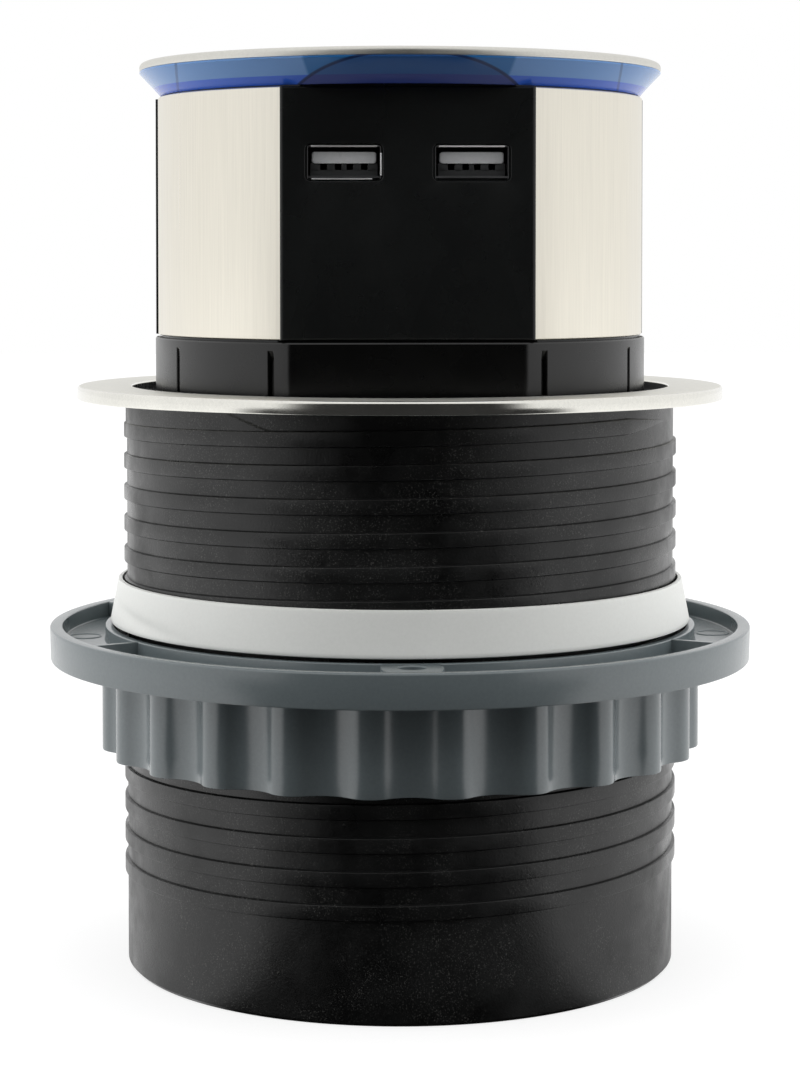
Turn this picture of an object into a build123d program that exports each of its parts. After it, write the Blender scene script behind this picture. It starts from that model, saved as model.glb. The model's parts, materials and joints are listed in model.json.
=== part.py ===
from build123d import *
from math import atan2, cos, degrees, floor, radians, sin, sqrt
import os

os.makedirs("parts", exist_ok=True)

# Every size is in millimetres. The axis of the tube is Z, its bottom edge lies at z = 0,
# and the front, with its two charging ports, looks along -Y.

# Directions, in degrees about Z from +X
front_angle = -90
socket_angles = {"right": 30, "left": 150}
arc_angles = {"right": -30, "back": 90, "left": 210}

# Cap plate and the bore that it sinks into
cap_r = 48.4
cap_thickness = 1.3
cap_edge_radius = 0.8
cap_clearance = 0.5

# Overlap of two forms that are fused into one piece
fuse_bite = 0.5

# Threaded tube
tube_height = 105.0
tube_wall = 2.0
thread_height = 0.55
thread_pitch = 5.75
ridge_width = 2.8
ridge_flank = 0.25
lowest_ridge_top = 20.3
thread_top_margin = 3.0
tube_edge_chamfer = 0.6

# Trim ring that rests on the worktop, with a rebate below for the tube's upper end
trim_width = 10.1
trim_setback = 1.0
trim_thickness = 2.4
trim_upper_radius = 1.5
trim_lower_chamfer = 0.4
trim_rebate = 0.6
trim_seat_clearance = 0.1

# Guide lip inside the tube, which steers the tower and stops its base plate
guide_clearance = 0.4
guide_height = 12.0
stop_gap = 0.3

# Base cap, its screws and the cable outlet
base_cap_thickness = 3.0
base_cap_clearance = 0.1
base_screw_r = 1.5
base_screw_head_r = 2.8
base_screw_head_height = 1.6
base_screw_length = 10.0
base_screw_inset = 4.0
base_boss_r = 4.4
base_boss_height = 10.0
base_rib_height = 2.0
base_rib_width = 1.6
base_rib_gap = 2.5
base_rib_angles = (30, 150, 210, 330)
screw_clearance = 0.05
grommet_neck_r = 8.0
grommet_flange_r = 10.0
grommet_flange_height = 2.0
grommet_recess = 0.3
cable_bore_r = 4.2

# Gas spring on the axis
rod_r = 3.0
rod_socket_r = 7.0
rod_socket_height = 5.0
piston_r = 5.4
piston_height = 3.0
piston_lift = 5.0
cylinder_r = 7.0
cylinder_bore_r = 5.6
cylinder_end = 3.0
cylinder_top_gap = 2.4
rod_clearance = 0.05

# Push latch between base cap and tower
latch_gap = 1.5
striker_width = 8.0
striker_thickness = 2.8
striker_length = 8.0
striker_chamfer = 0.7
catch_width = 14.0
catch_depth = 10.0
catch_height = 10.0
catch_slot_depth = 5.5
latch_clearance = 0.4

# Tower: heights above the trim, from the skirt up to the light ring
skirt_show = 9.0
shadow_gap = 0.4
ring_gap = 0.2
ring_height = 4.8
over_press = 2.0

# Tower sections: panels set in from the cap plate's rim, and faces with a border round a socket
face_border = 2.37
face_margin = 2.35
face_thickness = 2.2
face_edge_radius = 0.9
corner_proud = 0.4
panel_inset = 3.3
panel_thickness = 0.8
panel_joint = 0.2
pillar_inset = 1.2
pillar_thickness = 2.5
frame_floor = 1.4
frame_face_gap = 0.1
tower_bore_r = 24.0
bolt_inset = 3.2
bolt_r = 1.5
bolt_head_r = 2.7
bolt_head_height = 1.6
bolt_depth = 6.0
bolt_boss_r = 3.2
boss_web_width = 3.0

# Skirt and base plate of the tower
skirt_inset = 2.9
skirt_flat_proud = 0.8
skirt_wall = 2.5
skirt_length = 32.8
skirt_floor = 2.0
groove_angles = (-152.7, -121.3, -58.7, -27.3, 74.3, 105.7)
groove_width = 1.6
groove_depth = 1.0
groove_top_gap = 1.4
base_plate_thickness = 3.0
skirt_screw_inset = 5.5
skirt_boss_r = 3.6
skirt_boss_height = 10.0
cable_hole_r = 6.0
cable_clamp_r = 8.0
cable_clamp_height = 7.0
cable_clamp_gap = 2.2
terminal_size = (18.0, 12.0, 12.0)
terminal_place = (21.0, 13.0)
terminal_way_count = 3
terminal_way_r = 1.7

# Crown, light ring and lamps under the cap
crown_setback = 0.3
crown_gap = 0.4
ring_land = 0.4
ring_edge_height = 0.3
ring_clearance = 0.15
crown_wall = 7.1
crown_hub_r = 18.0
crown_floor = 2.1
board_thickness = 1.2
board_clearance = 0.3
lamp_count = 9
lamp_inset = 2.8
lamp_size = (3.0, 2.0, 1.0)

# Charging ports in the front face
port_spacing = 22.0
port_drop = 12.9
port_recess = (13.4, 6.5)
port_recess_radius = 0.9
shell_size = (13.1, 5.7)
shell_wall = 0.35
shell_length = 13.9
shell_setback = 0.3
tongue_size = (11.1, 2.0)
tongue_rise = 0.85
tongue_setback = 1.2
insulator_back = 2.0
insulator_step = 6.0
insulator_step_height = 1.4
contact_offsets = (-3.5, -1.0, 1.0, 3.5)
contact_slot_width = 1.2
port_board_size = (36.0, 22.0)
port_board_thickness = 1.6
port_board_drop = 2.0

# Earthed two-pin sockets in the other two faces
well_r = 19.5
well_wall = 1.2
well_depth = 17.5
well_floor = 2.0
pin_spacing = 19.0
pin_hole_r = 2.75
key_width = 5.0
key_rise = 1.8
earth_width = 4.0
earth_thickness = 0.8
earth_inset = 0.4
earth_length = 13.6
earth_bulge = 1.5
earth_bulge_start = 6.8
earth_bulge_tip = 10.2
shutter_r = 12.5
shutter_thickness = 1.2
shutter_gap = 0.3
shutter_turn = 25
shutter_hole_r = 2.9
pivot_r = 1.4
pivot_clearance = 0.06
contact_block_size = (30.0, 12.0, 7.6)
contact_block_radius = 2.0
contact_leg_width = 2.0
contact_leg_height = 8.0
contact_r = 2.6
contact_wall = 0.6
contact_clearance = 0.1
contact_setback = 0.5

# Seal ring above the clamp nut
thread_clearance = 0.3
seal_gap = 1.2
seal_height = 7.5
seal_lower_wall = 2.25
seal_upper_wall = 0.85
seal_flare = 0.9
seal_land = 2.0

# Clamp nut: its drop below the worktop's upper face, and walls outside its bore
nut_drop = 41.9
flange_height = 6.0
flange_rim = 3.6
flange_chamfer = 0.4
pocket_width = 6.6
pocket_depth = 2.9
hub_thickness = 3.25
hub_wall = 1.5
hub_recess = 3.5
nut_skirt_height = 16.9
flute_count = 24
flute_crest_wall = 3.95
flute_valley_wall = 1.55
flute_cutter_r = 4.6
flute_edge_radius = 1.2
nut_boss_r = 5.4
nut_hole_r = 2.3
nut_rib_width = 1.0
pocket_fill_drop = 0.3

# Radii that follow from the sizes above
tube_bore_r = cap_r + cap_clearance
thread_root_r = tube_bore_r + tube_wall
thread_crest_r = thread_root_r + thread_height
trim_bore_r = tube_bore_r + trim_setback
trim_r = trim_bore_r + trim_width
panel_r = cap_r - panel_inset
pillar_r = panel_r - panel_thickness
crown_r = pillar_r - crown_setback
face_corner_r = panel_r + corner_proud
face_half_width = well_r + face_border
face_height = 2 * (well_r + face_margin)
face_distance = sqrt(face_corner_r**2 - face_half_width**2)
face_back = face_distance - face_thickness
skirt_r = cap_r - skirt_inset
skirt_flat = face_distance + skirt_flat_proud
skirt_screw_ring_r = skirt_r - skirt_screw_inset
guide_r = max(face_corner_r, skirt_r) + guide_clearance
guide_flat = skirt_flat + guide_clearance
base_plate_r = tube_bore_r - guide_clearance
base_hole_r = base_screw_r + screw_clearance
base_head_hole_r = base_screw_head_r + screw_clearance
bolt_hole_r = bolt_r + screw_clearance
bolt_head_hole_r = bolt_head_r + screw_clearance
base_screw_ring_r = tube_bore_r - base_screw_inset
base_rib_end = base_screw_ring_r - base_boss_r - base_rib_gap
latch_y = base_screw_ring_r - base_boss_r - latch_gap - catch_depth / 2
grommet_y = -(skirt_flat - skirt_wall - cable_clamp_gap - cable_clamp_r)
crown_pocket_r = face_distance - crown_wall
lamp_ring_r = crown_pocket_r - lamp_inset
bolt_ring_r = crown_pocket_r + bolt_inset
nut_bore_r = thread_crest_r + thread_clearance
seal_lower_r = nut_bore_r + seal_lower_wall
seal_upper_r = nut_bore_r + seal_upper_wall
flute_crest_r = nut_bore_r + flute_crest_wall
flute_valley_r = nut_bore_r + flute_valley_wall
hub_r = nut_bore_r + hub_thickness
rim_bore_r = hub_r + pocket_width
pocket_middle_r = hub_r + pocket_width / 2
flange_r = rim_bore_r + flange_rim

# Angles that follow from them: a third of the circle holds half a face and half an arc, twice
face_half_angle = degrees(atan2(face_half_width, face_distance))
panel_half_angle = 60 - face_half_angle - degrees(panel_joint / panel_r)
pillar_half_angle = panel_half_angle - degrees(pillar_inset / panel_r)

# Heights that follow from the sizes above
z_trim_bottom = tube_height - trim_rebate
z_trim_top = z_trim_bottom + trim_thickness
z_skirt_top = z_trim_top + skirt_show
z_skirt_bottom = z_skirt_top - skirt_length
z_plate_bottom = z_skirt_bottom - base_plate_thickness
z_face_bottom = z_skirt_top + shadow_gap
z_face_top = z_face_bottom + face_height
z_face_middle = (z_face_bottom + z_face_top) / 2
z_ring_bottom = z_face_top + ring_gap
z_cap_bottom = z_ring_bottom + ring_height
z_cap_top = z_cap_bottom + cap_thickness
z_crown_top = z_cap_bottom - crown_gap
z_crown_floor = z_face_top + crown_floor
z_board_top = z_crown_floor + board_thickness
z_cylinder_top = z_face_top - cylinder_top_gap
z_piston = z_skirt_bottom + piston_lift
z_nut_top = z_trim_bottom - nut_drop
z_flange_bottom = z_nut_top - flange_height
z_nut_bottom = z_flange_bottom - nut_skirt_height
z_pocket_floor = z_nut_top - pocket_depth
z_seal_bottom = z_nut_top + seal_gap
z_seal_top = z_seal_bottom + seal_height
z_port = z_face_top - port_drop
stroke = z_cap_top - z_trim_top + over_press

# Distances from the axis along a socket's direction
well_bottom = face_distance - well_depth
well_back = well_bottom - well_floor
shutter_back = well_back - shutter_gap - shutter_thickness
block_front = shutter_back - shutter_gap
block_back = block_front - contact_block_size[2]

# Distances from the axis along the front's direction
shell_front = face_distance - shell_setback
shell_back = shell_front - shell_length
insulator_front = shell_back + insulator_back
tongue_front = face_distance - tongue_setback

arcs = tuple(arc_angles.values())
upwards = (Align.CENTER, Align.CENTER, Align.MIN)


def around(ring_r, angles):
    """The points on a circle about the axis at the given angles."""
    return [(ring_r * cos(radians(a)), ring_r * sin(radians(a))) for a in angles]


def posts(radius, places, bottom, top, mode=Mode.ADD):
    """Upright round posts, or bores, at the given places."""
    with Locations(*[(x, y, bottom) for x, y in places]):
        Cylinder(radius, top - bottom, align=upwards, mode=mode)


def disc(radius, bottom, top, mode=Mode.ADD):
    """A round plate, or a bore, about the axis."""
    posts(radius, [(0, 0)], bottom, top, mode)


def round_with_flats(radius, flat):
    """A round section with a flat across the front and each socket."""
    Circle(radius)
    RegularPolygon(flat, 3, major_radius=False, rotation=90, mode=Mode.INTERSECT)


def sector(angle, half_angle):
    """Keeps the part of a section that lies inside a sector about the axis."""
    reach = 3 * trim_r
    corners = around(reach, (angle - half_angle, angle, angle + half_angle))
    Polygon((0, 0), *corners, align=None, mode=Mode.INTERSECT)


def level_plane(angle, height):
    """A level plane with x outwards in a direction and y along the face there."""
    outwards = Vector(cos(radians(angle)), sin(radians(angle)), 0)
    return Plane(origin=(0, 0, height), x_dir=outwards, z_dir=(0, 0, 1))


def face_plane(angle, distance, height=z_face_middle):
    """An upright plane across a direction: x along the face, y up and z outwards."""
    outwards = Vector(cos(radians(angle)), sin(radians(angle)), 0)
    along = Vector(-sin(radians(angle)), cos(radians(angle)), 0)
    return Plane(origin=outwards * distance + Vector(0, 0, height), x_dir=along, z_dir=outwards)


def face_plate(angle):
    """The flat plate of one face, with its sides on lines through the axis."""
    back_half_width = face_half_width * face_back / face_distance
    with BuildPart() as plate:
        with BuildSketch(level_plane(angle, z_face_bottom)):
            with BuildLine():
                Polyline(
                    (face_back, -back_half_width),
                    (face_distance, -face_half_width),
                    (face_distance, face_half_width),
                    (face_back, back_half_width),
                    close=True,
                )
            section = make_face()
            fillet(section.vertices().group_by(Axis.X)[-1], face_edge_radius)
        extrude(amount=face_height)
    return plate.part


# Housing tube: ridged outside, with the guide lip and the base cap's screw bosses inside
ridge_points = (
    (-fuse_bite, -ridge_width / 2),
    (0, -ridge_width / 2),
    (thread_height, ridge_flank - ridge_width / 2),
    (thread_height, ridge_width / 2 - ridge_flank),
    (0, ridge_width / 2),
    (-fuse_bite, ridge_width / 2),
)
ridge_count = 1 + floor((tube_height - thread_top_margin - lowest_ridge_top) / thread_pitch)
ridge_middles = [lowest_ridge_top - ridge_width / 2 + n * thread_pitch for n in range(ridge_count)]
z_lip_bottom = z_skirt_bottom + stop_gap

with BuildPart() as housing_tube:
    with BuildSketch(Plane.XZ):
        with Locations((tube_bore_r, 0)):
            Rectangle(tube_wall, tube_height, align=(Align.MIN, Align.MIN))
        with Locations(*[(thread_root_r, z) for z in ridge_middles]):
            Polygon(*ridge_points, align=None)
    revolve(axis=Axis.Z)
    bottom_edges = housing_tube.edges().filter_by(GeomType.CIRCLE).group_by(Axis.Z)[0]
    chamfer(bottom_edges.sort_by(SortBy.RADIUS)[-1], tube_edge_chamfer)
    with BuildSketch(Plane.XY.offset(z_lip_bottom)):
        Circle(tube_bore_r + fuse_bite)
    extrude(amount=guide_height)
    with BuildSketch(Plane.XY.offset(z_lip_bottom)):
        round_with_flats(guide_r, guide_flat)
    extrude(amount=guide_height, mode=Mode.SUBTRACT)
    bosses = around(base_screw_ring_r, arcs)
    posts(base_boss_r, bosses, base_cap_thickness, base_cap_thickness + base_boss_height)
    posts(base_hole_r, bosses, base_cap_thickness, base_cap_thickness + base_boss_height, Mode.SUBTRACT)
housing_tube.part.label = "housing_tube"
export_step(housing_tube.part, "parts/housing_tube.step")

# Trim ring
with BuildPart() as trim_ring:
    disc(trim_r, z_trim_bottom, z_trim_top)
    fillet(trim_ring.edges().group_by(Axis.Z)[-1], trim_upper_radius)
    chamfer(trim_ring.edges().filter_by(GeomType.CIRCLE).group_by(Axis.Z)[0], trim_lower_chamfer)
    disc(trim_bore_r, z_trim_bottom, z_trim_top, Mode.SUBTRACT)
    disc(thread_root_r + trim_seat_clearance, z_trim_bottom, tube_height, Mode.SUBTRACT)
trim_ring.part.label = "trim_ring"
export_step(trim_ring.part, "parts/trim_ring.step")

# Base cap with a socket for the rod, stiffening ribs and the cable outlet
with BuildPart() as base_cap:
    disc(tube_bore_r - base_cap_clearance, 0, base_cap_thickness)
    disc(rod_socket_r, base_cap_thickness, base_cap_thickness + rod_socket_height)
    for rib_angle in base_rib_angles:
        with BuildSketch(level_plane(rib_angle, base_cap_thickness)):
            Rectangle(base_rib_end, base_rib_width, align=(Align.MIN, Align.CENTER))
        extrude(amount=base_rib_height)
    disc(rod_r, base_cap_thickness, base_cap_thickness + rod_socket_height, Mode.SUBTRACT)
    posts(grommet_neck_r, [(0, grommet_y)], 0, base_cap_thickness, Mode.SUBTRACT)
    with Locations(*[Location((x, y, 0), (180, 0, 0)) for x, y in bosses]):
        CounterSinkHole(base_hole_r, base_head_hole_r, base_cap_thickness)
base_cap.part.label = "base_cap"
export_step(base_cap.part, "parts/base_cap.step")

# Countersunk screws that hold the base cap
with BuildPart() as base_cap_screws:
    with Locations(*[(x, y, 0) for x, y in bosses]):
        Cone(base_screw_head_r, base_screw_r, base_screw_head_r - base_screw_r, align=upwards)
        Cylinder(base_screw_r, base_screw_length, align=upwards)
base_cap_screws.part.label = "base_cap_screws"
export_step(base_cap_screws.part, "parts/base_cap_screws.step")

# Cable grommet
with BuildPart() as cable_grommet:
    outlet = [(0, grommet_y)]
    posts(grommet_neck_r, outlet, grommet_recess, base_cap_thickness)
    posts(grommet_flange_r, outlet, base_cap_thickness, base_cap_thickness + grommet_flange_height)
    posts(cable_bore_r, outlet, grommet_recess, base_cap_thickness + grommet_flange_height, Mode.SUBTRACT)
cable_grommet.part.label = "cable_grommet"
export_step(cable_grommet.part, "parts/cable_grommet.step")

# Gas spring rod with its piston
with BuildPart() as gas_spring_rod:
    disc(rod_r, base_cap_thickness, z_piston)
    disc(piston_r, z_piston, z_piston + piston_height)
gas_spring_rod.part.label = "gas_spring_rod"
export_step(gas_spring_rod.part, "parts/gas_spring_rod.step")

# Latch catch, a slotted block on the base cap
with BuildPart() as latch_catch:
    with Locations((0, latch_y, base_cap_thickness)):
        Box(catch_width, catch_depth, catch_height, align=upwards)
    with Locations((0, latch_y, base_cap_thickness + catch_height - catch_slot_depth)):
        Box(striker_width + 2 * latch_clearance, striker_thickness + 2 * latch_clearance,
            catch_slot_depth, align=upwards, mode=Mode.SUBTRACT)
latch_catch.part.label = "latch_catch"
export_step(latch_catch.part, "parts/latch_catch.step")

# Seal ring, a flared band
with BuildPart() as seal_ring:
    with BuildSketch(Plane.XZ):
        with BuildLine():
            Polyline(
                (nut_bore_r + seal_flare, z_seal_bottom),
                (seal_lower_r, z_seal_bottom),
                (seal_upper_r, z_seal_top),
                (nut_bore_r, z_seal_top),
                (nut_bore_r, z_seal_top - seal_land),
                close=True,
            )
        make_face()
    revolve(axis=Axis.Z)
seal_ring.part.label = "seal_ring"
export_step(seal_ring.part, "parts/seal_ring.step")

# Clamp nut: fluted skirt below, flange with an open pocket, bosses and ribs above
nut_boss_angles = (front_angle, *socket_angles.values())
z_pocket_fill = z_nut_top - pocket_fill_drop

with BuildPart() as clamp_nut:
    with BuildSketch(Plane.XY.offset(z_nut_bottom)):
        Circle(flute_crest_r)
        with PolarLocations(flute_valley_r + flute_cutter_r, flute_count, start_angle=front_angle):
            Circle(flute_cutter_r, mode=Mode.SUBTRACT)
    extrude(amount=nut_skirt_height)
    fillet(clamp_nut.edges().filter_by(Axis.Z), flute_edge_radius)
    disc(flange_r, z_flange_bottom, z_nut_top)
    rim_edges = clamp_nut.edges().filter_by(GeomType.CIRCLE).sort_by(SortBy.RADIUS)[-2:]
    chamfer(rim_edges, flange_chamfer)
    with BuildSketch(Plane.XY.offset(z_pocket_floor)):
        Circle(rim_bore_r)
        Circle(hub_r, mode=Mode.SUBTRACT)
    extrude(amount=pocket_depth, mode=Mode.SUBTRACT)
    posts(nut_boss_r, around(pocket_middle_r, nut_boss_angles), z_pocket_floor, z_pocket_fill)
    for rib_angle in arcs:
        with BuildSketch(level_plane(rib_angle, z_pocket_floor)):
            with Locations((pocket_middle_r, 0)):
                Rectangle(pocket_width + 2 * fuse_bite, nut_rib_width)
        extrude(amount=z_pocket_fill - z_pocket_floor)
    posts(nut_hole_r, around(pocket_middle_r, nut_boss_angles), z_flange_bottom, z_nut_top, Mode.SUBTRACT)
    disc(nut_bore_r, z_nut_bottom, z_nut_top, Mode.SUBTRACT)
    disc(hub_r - hub_wall, z_nut_top - hub_recess, z_nut_top, Mode.SUBTRACT)
clamp_nut.part.label = "clamp_nut"
export_step(clamp_nut.part, "parts/clamp_nut.step")

# Cap plate
with BuildPart() as cap_plate:
    disc(cap_r, z_cap_bottom, z_cap_top)
    fillet(cap_plate.edges().group_by(Axis.Z)[-1], cap_edge_radius)
cap_plate.part.label = "cap_plate"
export_step(cap_plate.part, "parts/cap_plate.step")

# Light ring, bevelled below and conical inside
with BuildPart() as light_ring:
    with BuildSketch(Plane.XZ):
        with BuildLine():
            Polyline(
                (crown_r + ring_clearance, z_ring_bottom),
                (crown_r + ring_land, z_ring_bottom),
                (cap_r, z_cap_bottom - ring_edge_height),
                (cap_r, z_cap_bottom),
                (face_distance + ring_clearance, z_cap_bottom),
                (face_distance + ring_clearance, z_crown_top),
                close=True,
            )
        make_face()
    revolve(axis=Axis.Z)
light_ring.part.label = "light_ring"
export_step(light_ring.part, "parts/light_ring.step")

# Crown: a conical shoulder cut by the three flats, with a pocket for the lamps
bolt_places = around(bolt_ring_r, arcs)

with BuildPart() as crown:
    disc(crown_r, z_face_top, z_ring_bottom)
    with Locations((0, 0, z_ring_bottom)):
        Cone(crown_r, face_distance, z_crown_top - z_ring_bottom, align=upwards)
    with BuildSketch(Plane.XY.offset(z_face_top)):
        RegularPolygon(face_distance, 3, major_radius=False, rotation=90)
    extrude(amount=z_cap_bottom - z_face_top, mode=Mode.INTERSECT)
    disc(crown_pocket_r, z_crown_floor, z_crown_top, Mode.SUBTRACT)
    disc(crown_hub_r, z_face_top, z_cap_bottom)
    disc(cylinder_r, z_cylinder_top, z_face_top)
    posts(bolt_hole_r, bolt_places, z_face_top, z_crown_top, Mode.SUBTRACT)
    posts(bolt_head_hole_r, bolt_places, z_crown_floor, z_crown_top, Mode.SUBTRACT)
crown.part.label = "crown"
export_step(crown.part, "parts/crown.step")

# Light board and its lamps
with BuildPart() as light_board:
    disc(crown_pocket_r - board_clearance, z_crown_floor, z_board_top)
    disc(crown_hub_r + board_clearance, z_crown_floor, z_board_top, Mode.SUBTRACT)
light_board.part.label = "light_board"
export_step(light_board.part, "parts/light_board.step")

with BuildPart() as lamps:
    with Locations((0, 0, z_board_top)):
        with PolarLocations(lamp_ring_r, lamp_count):
            Box(lamp_size[1], lamp_size[0], lamp_size[2], align=upwards)
lamps.part.label = "lamps"
export_step(lamps.part, "parts/lamps.step")

# Tower frame: a floor ring and three pillars behind the steel panels
with BuildPart() as tower_frame:
    with BuildSketch(Plane.XY.offset(z_skirt_top)):
        round_with_flats(pillar_r, face_back - frame_face_gap)
        Circle(tower_bore_r, mode=Mode.SUBTRACT)
    extrude(amount=frame_floor)
    for arc_angle in arcs:
        with BuildSketch(Plane.XY.offset(z_skirt_top)):
            Circle(pillar_r)
            Circle(pillar_r - pillar_thickness, mode=Mode.SUBTRACT)
            sector(arc_angle, pillar_half_angle)
        extrude(amount=z_face_top - z_skirt_top)
        with BuildSketch(level_plane(arc_angle, z_skirt_top)):
            with Locations((bolt_ring_r, 0)):
                Circle(bolt_boss_r)
                Rectangle(pillar_r - pillar_thickness / 2 - bolt_ring_r, boss_web_width,
                          align=(Align.MIN, Align.CENTER))
        extrude(amount=z_face_top - z_skirt_top)
    posts(bolt_hole_r, bolt_places, z_skirt_top, z_face_top, Mode.SUBTRACT)
tower_frame.part.label = "tower_frame"
export_step(tower_frame.part, "parts/tower_frame.step")

# Steel panels over the pillars
for side, arc_angle in arc_angles.items():
    with BuildPart() as steel_panel:
        with BuildSketch(Plane.XY.offset(z_face_bottom)):
            Circle(panel_r)
            Circle(pillar_r, mode=Mode.SUBTRACT)
            sector(arc_angle, panel_half_angle)
        extrude(amount=face_height)
    steel_panel.part.label = f"steel_panel_{side}"
    export_step(steel_panel.part, f"parts/steel_panel_{side}.step")

# Long bolts through crown and frame into the skirt
with BuildPart() as tower_bolts:
    posts(bolt_r, bolt_places, z_skirt_top - bolt_depth, z_crown_floor)
    posts(bolt_head_r, bolt_places, z_crown_floor, z_crown_floor + bolt_head_height)
tower_bolts.part.label = "tower_bolts"
export_step(tower_bolts.part, "parts/tower_bolts.step")

# Skirt: a hollow sleeve with a floor on top, grooves outside and bosses inside
skirt_bosses = around(skirt_screw_ring_r, arcs)

with BuildPart() as tower_skirt:
    with BuildSketch(Plane.XY.offset(z_skirt_bottom)):
        round_with_flats(skirt_r, skirt_flat)
    extrude(amount=skirt_length)
    with BuildSketch(Plane.XY.offset(z_skirt_bottom)):
        round_with_flats(skirt_r - skirt_wall, skirt_flat - skirt_wall)
    extrude(amount=skirt_length - skirt_floor, mode=Mode.SUBTRACT)
    disc(tower_bore_r, z_skirt_top - skirt_floor, z_skirt_top, Mode.SUBTRACT)
    for groove_angle in groove_angles:
        with BuildSketch(level_plane(groove_angle, z_skirt_bottom)):
            with Locations((skirt_r - groove_depth, 0)):
                Rectangle(2 * groove_depth, groove_width, align=(Align.MIN, Align.CENTER))
        extrude(amount=skirt_length - groove_top_gap, mode=Mode.SUBTRACT)
    posts(bolt_boss_r, bolt_places, z_skirt_top - bolt_depth, z_skirt_top)
    posts(bolt_hole_r, bolt_places, z_skirt_top - bolt_depth, z_skirt_top, Mode.SUBTRACT)
    posts(skirt_boss_r, skirt_bosses, z_skirt_bottom, z_skirt_bottom + skirt_boss_height)
    posts(base_hole_r, skirt_bosses, z_skirt_bottom, z_skirt_bottom + skirt_boss_height, Mode.SUBTRACT)
tower_skirt.part.label = "tower_skirt"
export_step(tower_skirt.part, "parts/tower_skirt.step")

# Base plate of the tower and its screws
with BuildPart() as tower_base:
    disc(base_plate_r, z_plate_bottom, z_skirt_bottom)
    disc(rod_r + guide_clearance, z_plate_bottom, z_skirt_bottom, Mode.SUBTRACT)
    posts(cable_hole_r, [(0, grommet_y)], z_plate_bottom, z_skirt_bottom, Mode.SUBTRACT)
    posts(base_hole_r, skirt_bosses, z_plate_bottom, z_skirt_bottom, Mode.SUBTRACT)
    posts(base_head_hole_r, skirt_bosses, z_plate_bottom, z_plate_bottom + base_screw_head_height,
          Mode.SUBTRACT)
tower_base.part.label = "tower_base"
export_step(tower_base.part, "parts/tower_base.step")

with BuildPart() as tower_base_screws:
    posts(base_screw_head_r, skirt_bosses, z_plate_bottom, z_plate_bottom + base_screw_head_height)
    posts(base_screw_r, skirt_bosses, z_plate_bottom, z_plate_bottom + base_screw_length)
tower_base_screws.part.label = "tower_base_screws"
export_step(tower_base_screws.part, "parts/tower_base_screws.step")

# Gas spring cylinder, standing on the base plate
with BuildPart() as gas_spring_cylinder:
    disc(cylinder_r, z_skirt_bottom, z_cylinder_top)
    disc(cylinder_bore_r, z_skirt_bottom + cylinder_end, z_cylinder_top - cylinder_end, Mode.SUBTRACT)
    disc(rod_r + rod_clearance, z_skirt_bottom, z_skirt_bottom + cylinder_end, Mode.SUBTRACT)
gas_spring_cylinder.part.label = "gas_spring_cylinder"
export_step(gas_spring_cylinder.part, "parts/gas_spring_cylinder.step")

# Latch striker under the base plate
with BuildPart() as latch_striker:
    with Locations((0, latch_y, z_plate_bottom - striker_length)):
        Box(striker_width, striker_thickness, striker_length, align=upwards)
    chamfer(latch_striker.edges().group_by(Axis.Z)[0].filter_by(Axis.X), striker_chamfer)
latch_striker.part.label = "latch_striker"
export_step(latch_striker.part, "parts/latch_striker.step")

# Terminal block and cable clamp on the base plate
with BuildPart() as terminal_block:
    with Locations((*terminal_place, z_skirt_bottom)):
        Box(*terminal_size, align=upwards)
    with Locations((*terminal_place, z_skirt_bottom)):
        with GridLocations(terminal_size[0] / terminal_way_count, 0, terminal_way_count, 1):
            Cylinder(terminal_way_r, terminal_size[2], align=upwards, mode=Mode.SUBTRACT)
terminal_block.part.label = "terminal_block"
export_step(terminal_block.part, "parts/terminal_block.step")

with BuildPart() as cable_clamp:
    posts(cable_clamp_r, outlet, z_skirt_bottom, z_skirt_bottom + cable_clamp_height)
    posts(cable_bore_r, outlet, z_skirt_bottom, z_skirt_bottom + cable_clamp_height, Mode.SUBTRACT)
cable_clamp.part.label = "cable_clamp"
export_step(cable_clamp.part, "parts/cable_clamp.step")

# Front face with its two port openings
port_rise = z_port - z_face_middle
port_places = {"left": -port_spacing / 2, "right": port_spacing / 2}

with BuildPart() as usb_face:
    add(face_plate(front_angle))
    with BuildSketch(face_plane(front_angle, face_distance)):
        with Locations(*[(x, port_rise) for x in port_places.values()]):
            RectangleRounded(*port_recess, port_recess_radius)
    extrude(amount=-face_thickness, mode=Mode.SUBTRACT)
usb_face.part.label = "usb_face"
export_step(usb_face.part, "parts/usb_face.step")

# Port shells, white tongues and the insulators behind them
shell_inner = (shell_size[0] - 2 * shell_wall, shell_size[1] - 2 * shell_wall)

for side, port_x in port_places.items():
    with BuildPart() as usb_shell:
        with BuildSketch(face_plane(front_angle, shell_back)):
            with Locations((port_x, port_rise)):
                Rectangle(*shell_size)
                Rectangle(*shell_inner, mode=Mode.SUBTRACT)
        extrude(amount=shell_length)
    usb_shell.part.label = f"usb_shell_{side}"
    export_step(usb_shell.part, f"parts/usb_shell_{side}.step")

    with BuildPart() as usb_tongue:
        with BuildSketch(face_plane(front_angle, insulator_front)):
            with Locations((port_x, port_rise + tongue_rise)):
                Rectangle(*tongue_size)
        extrude(amount=tongue_front - insulator_front)
    usb_tongue.part.label = f"usb_tongue_{side}"
    export_step(usb_tongue.part, f"parts/usb_tongue_{side}.step")

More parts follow.
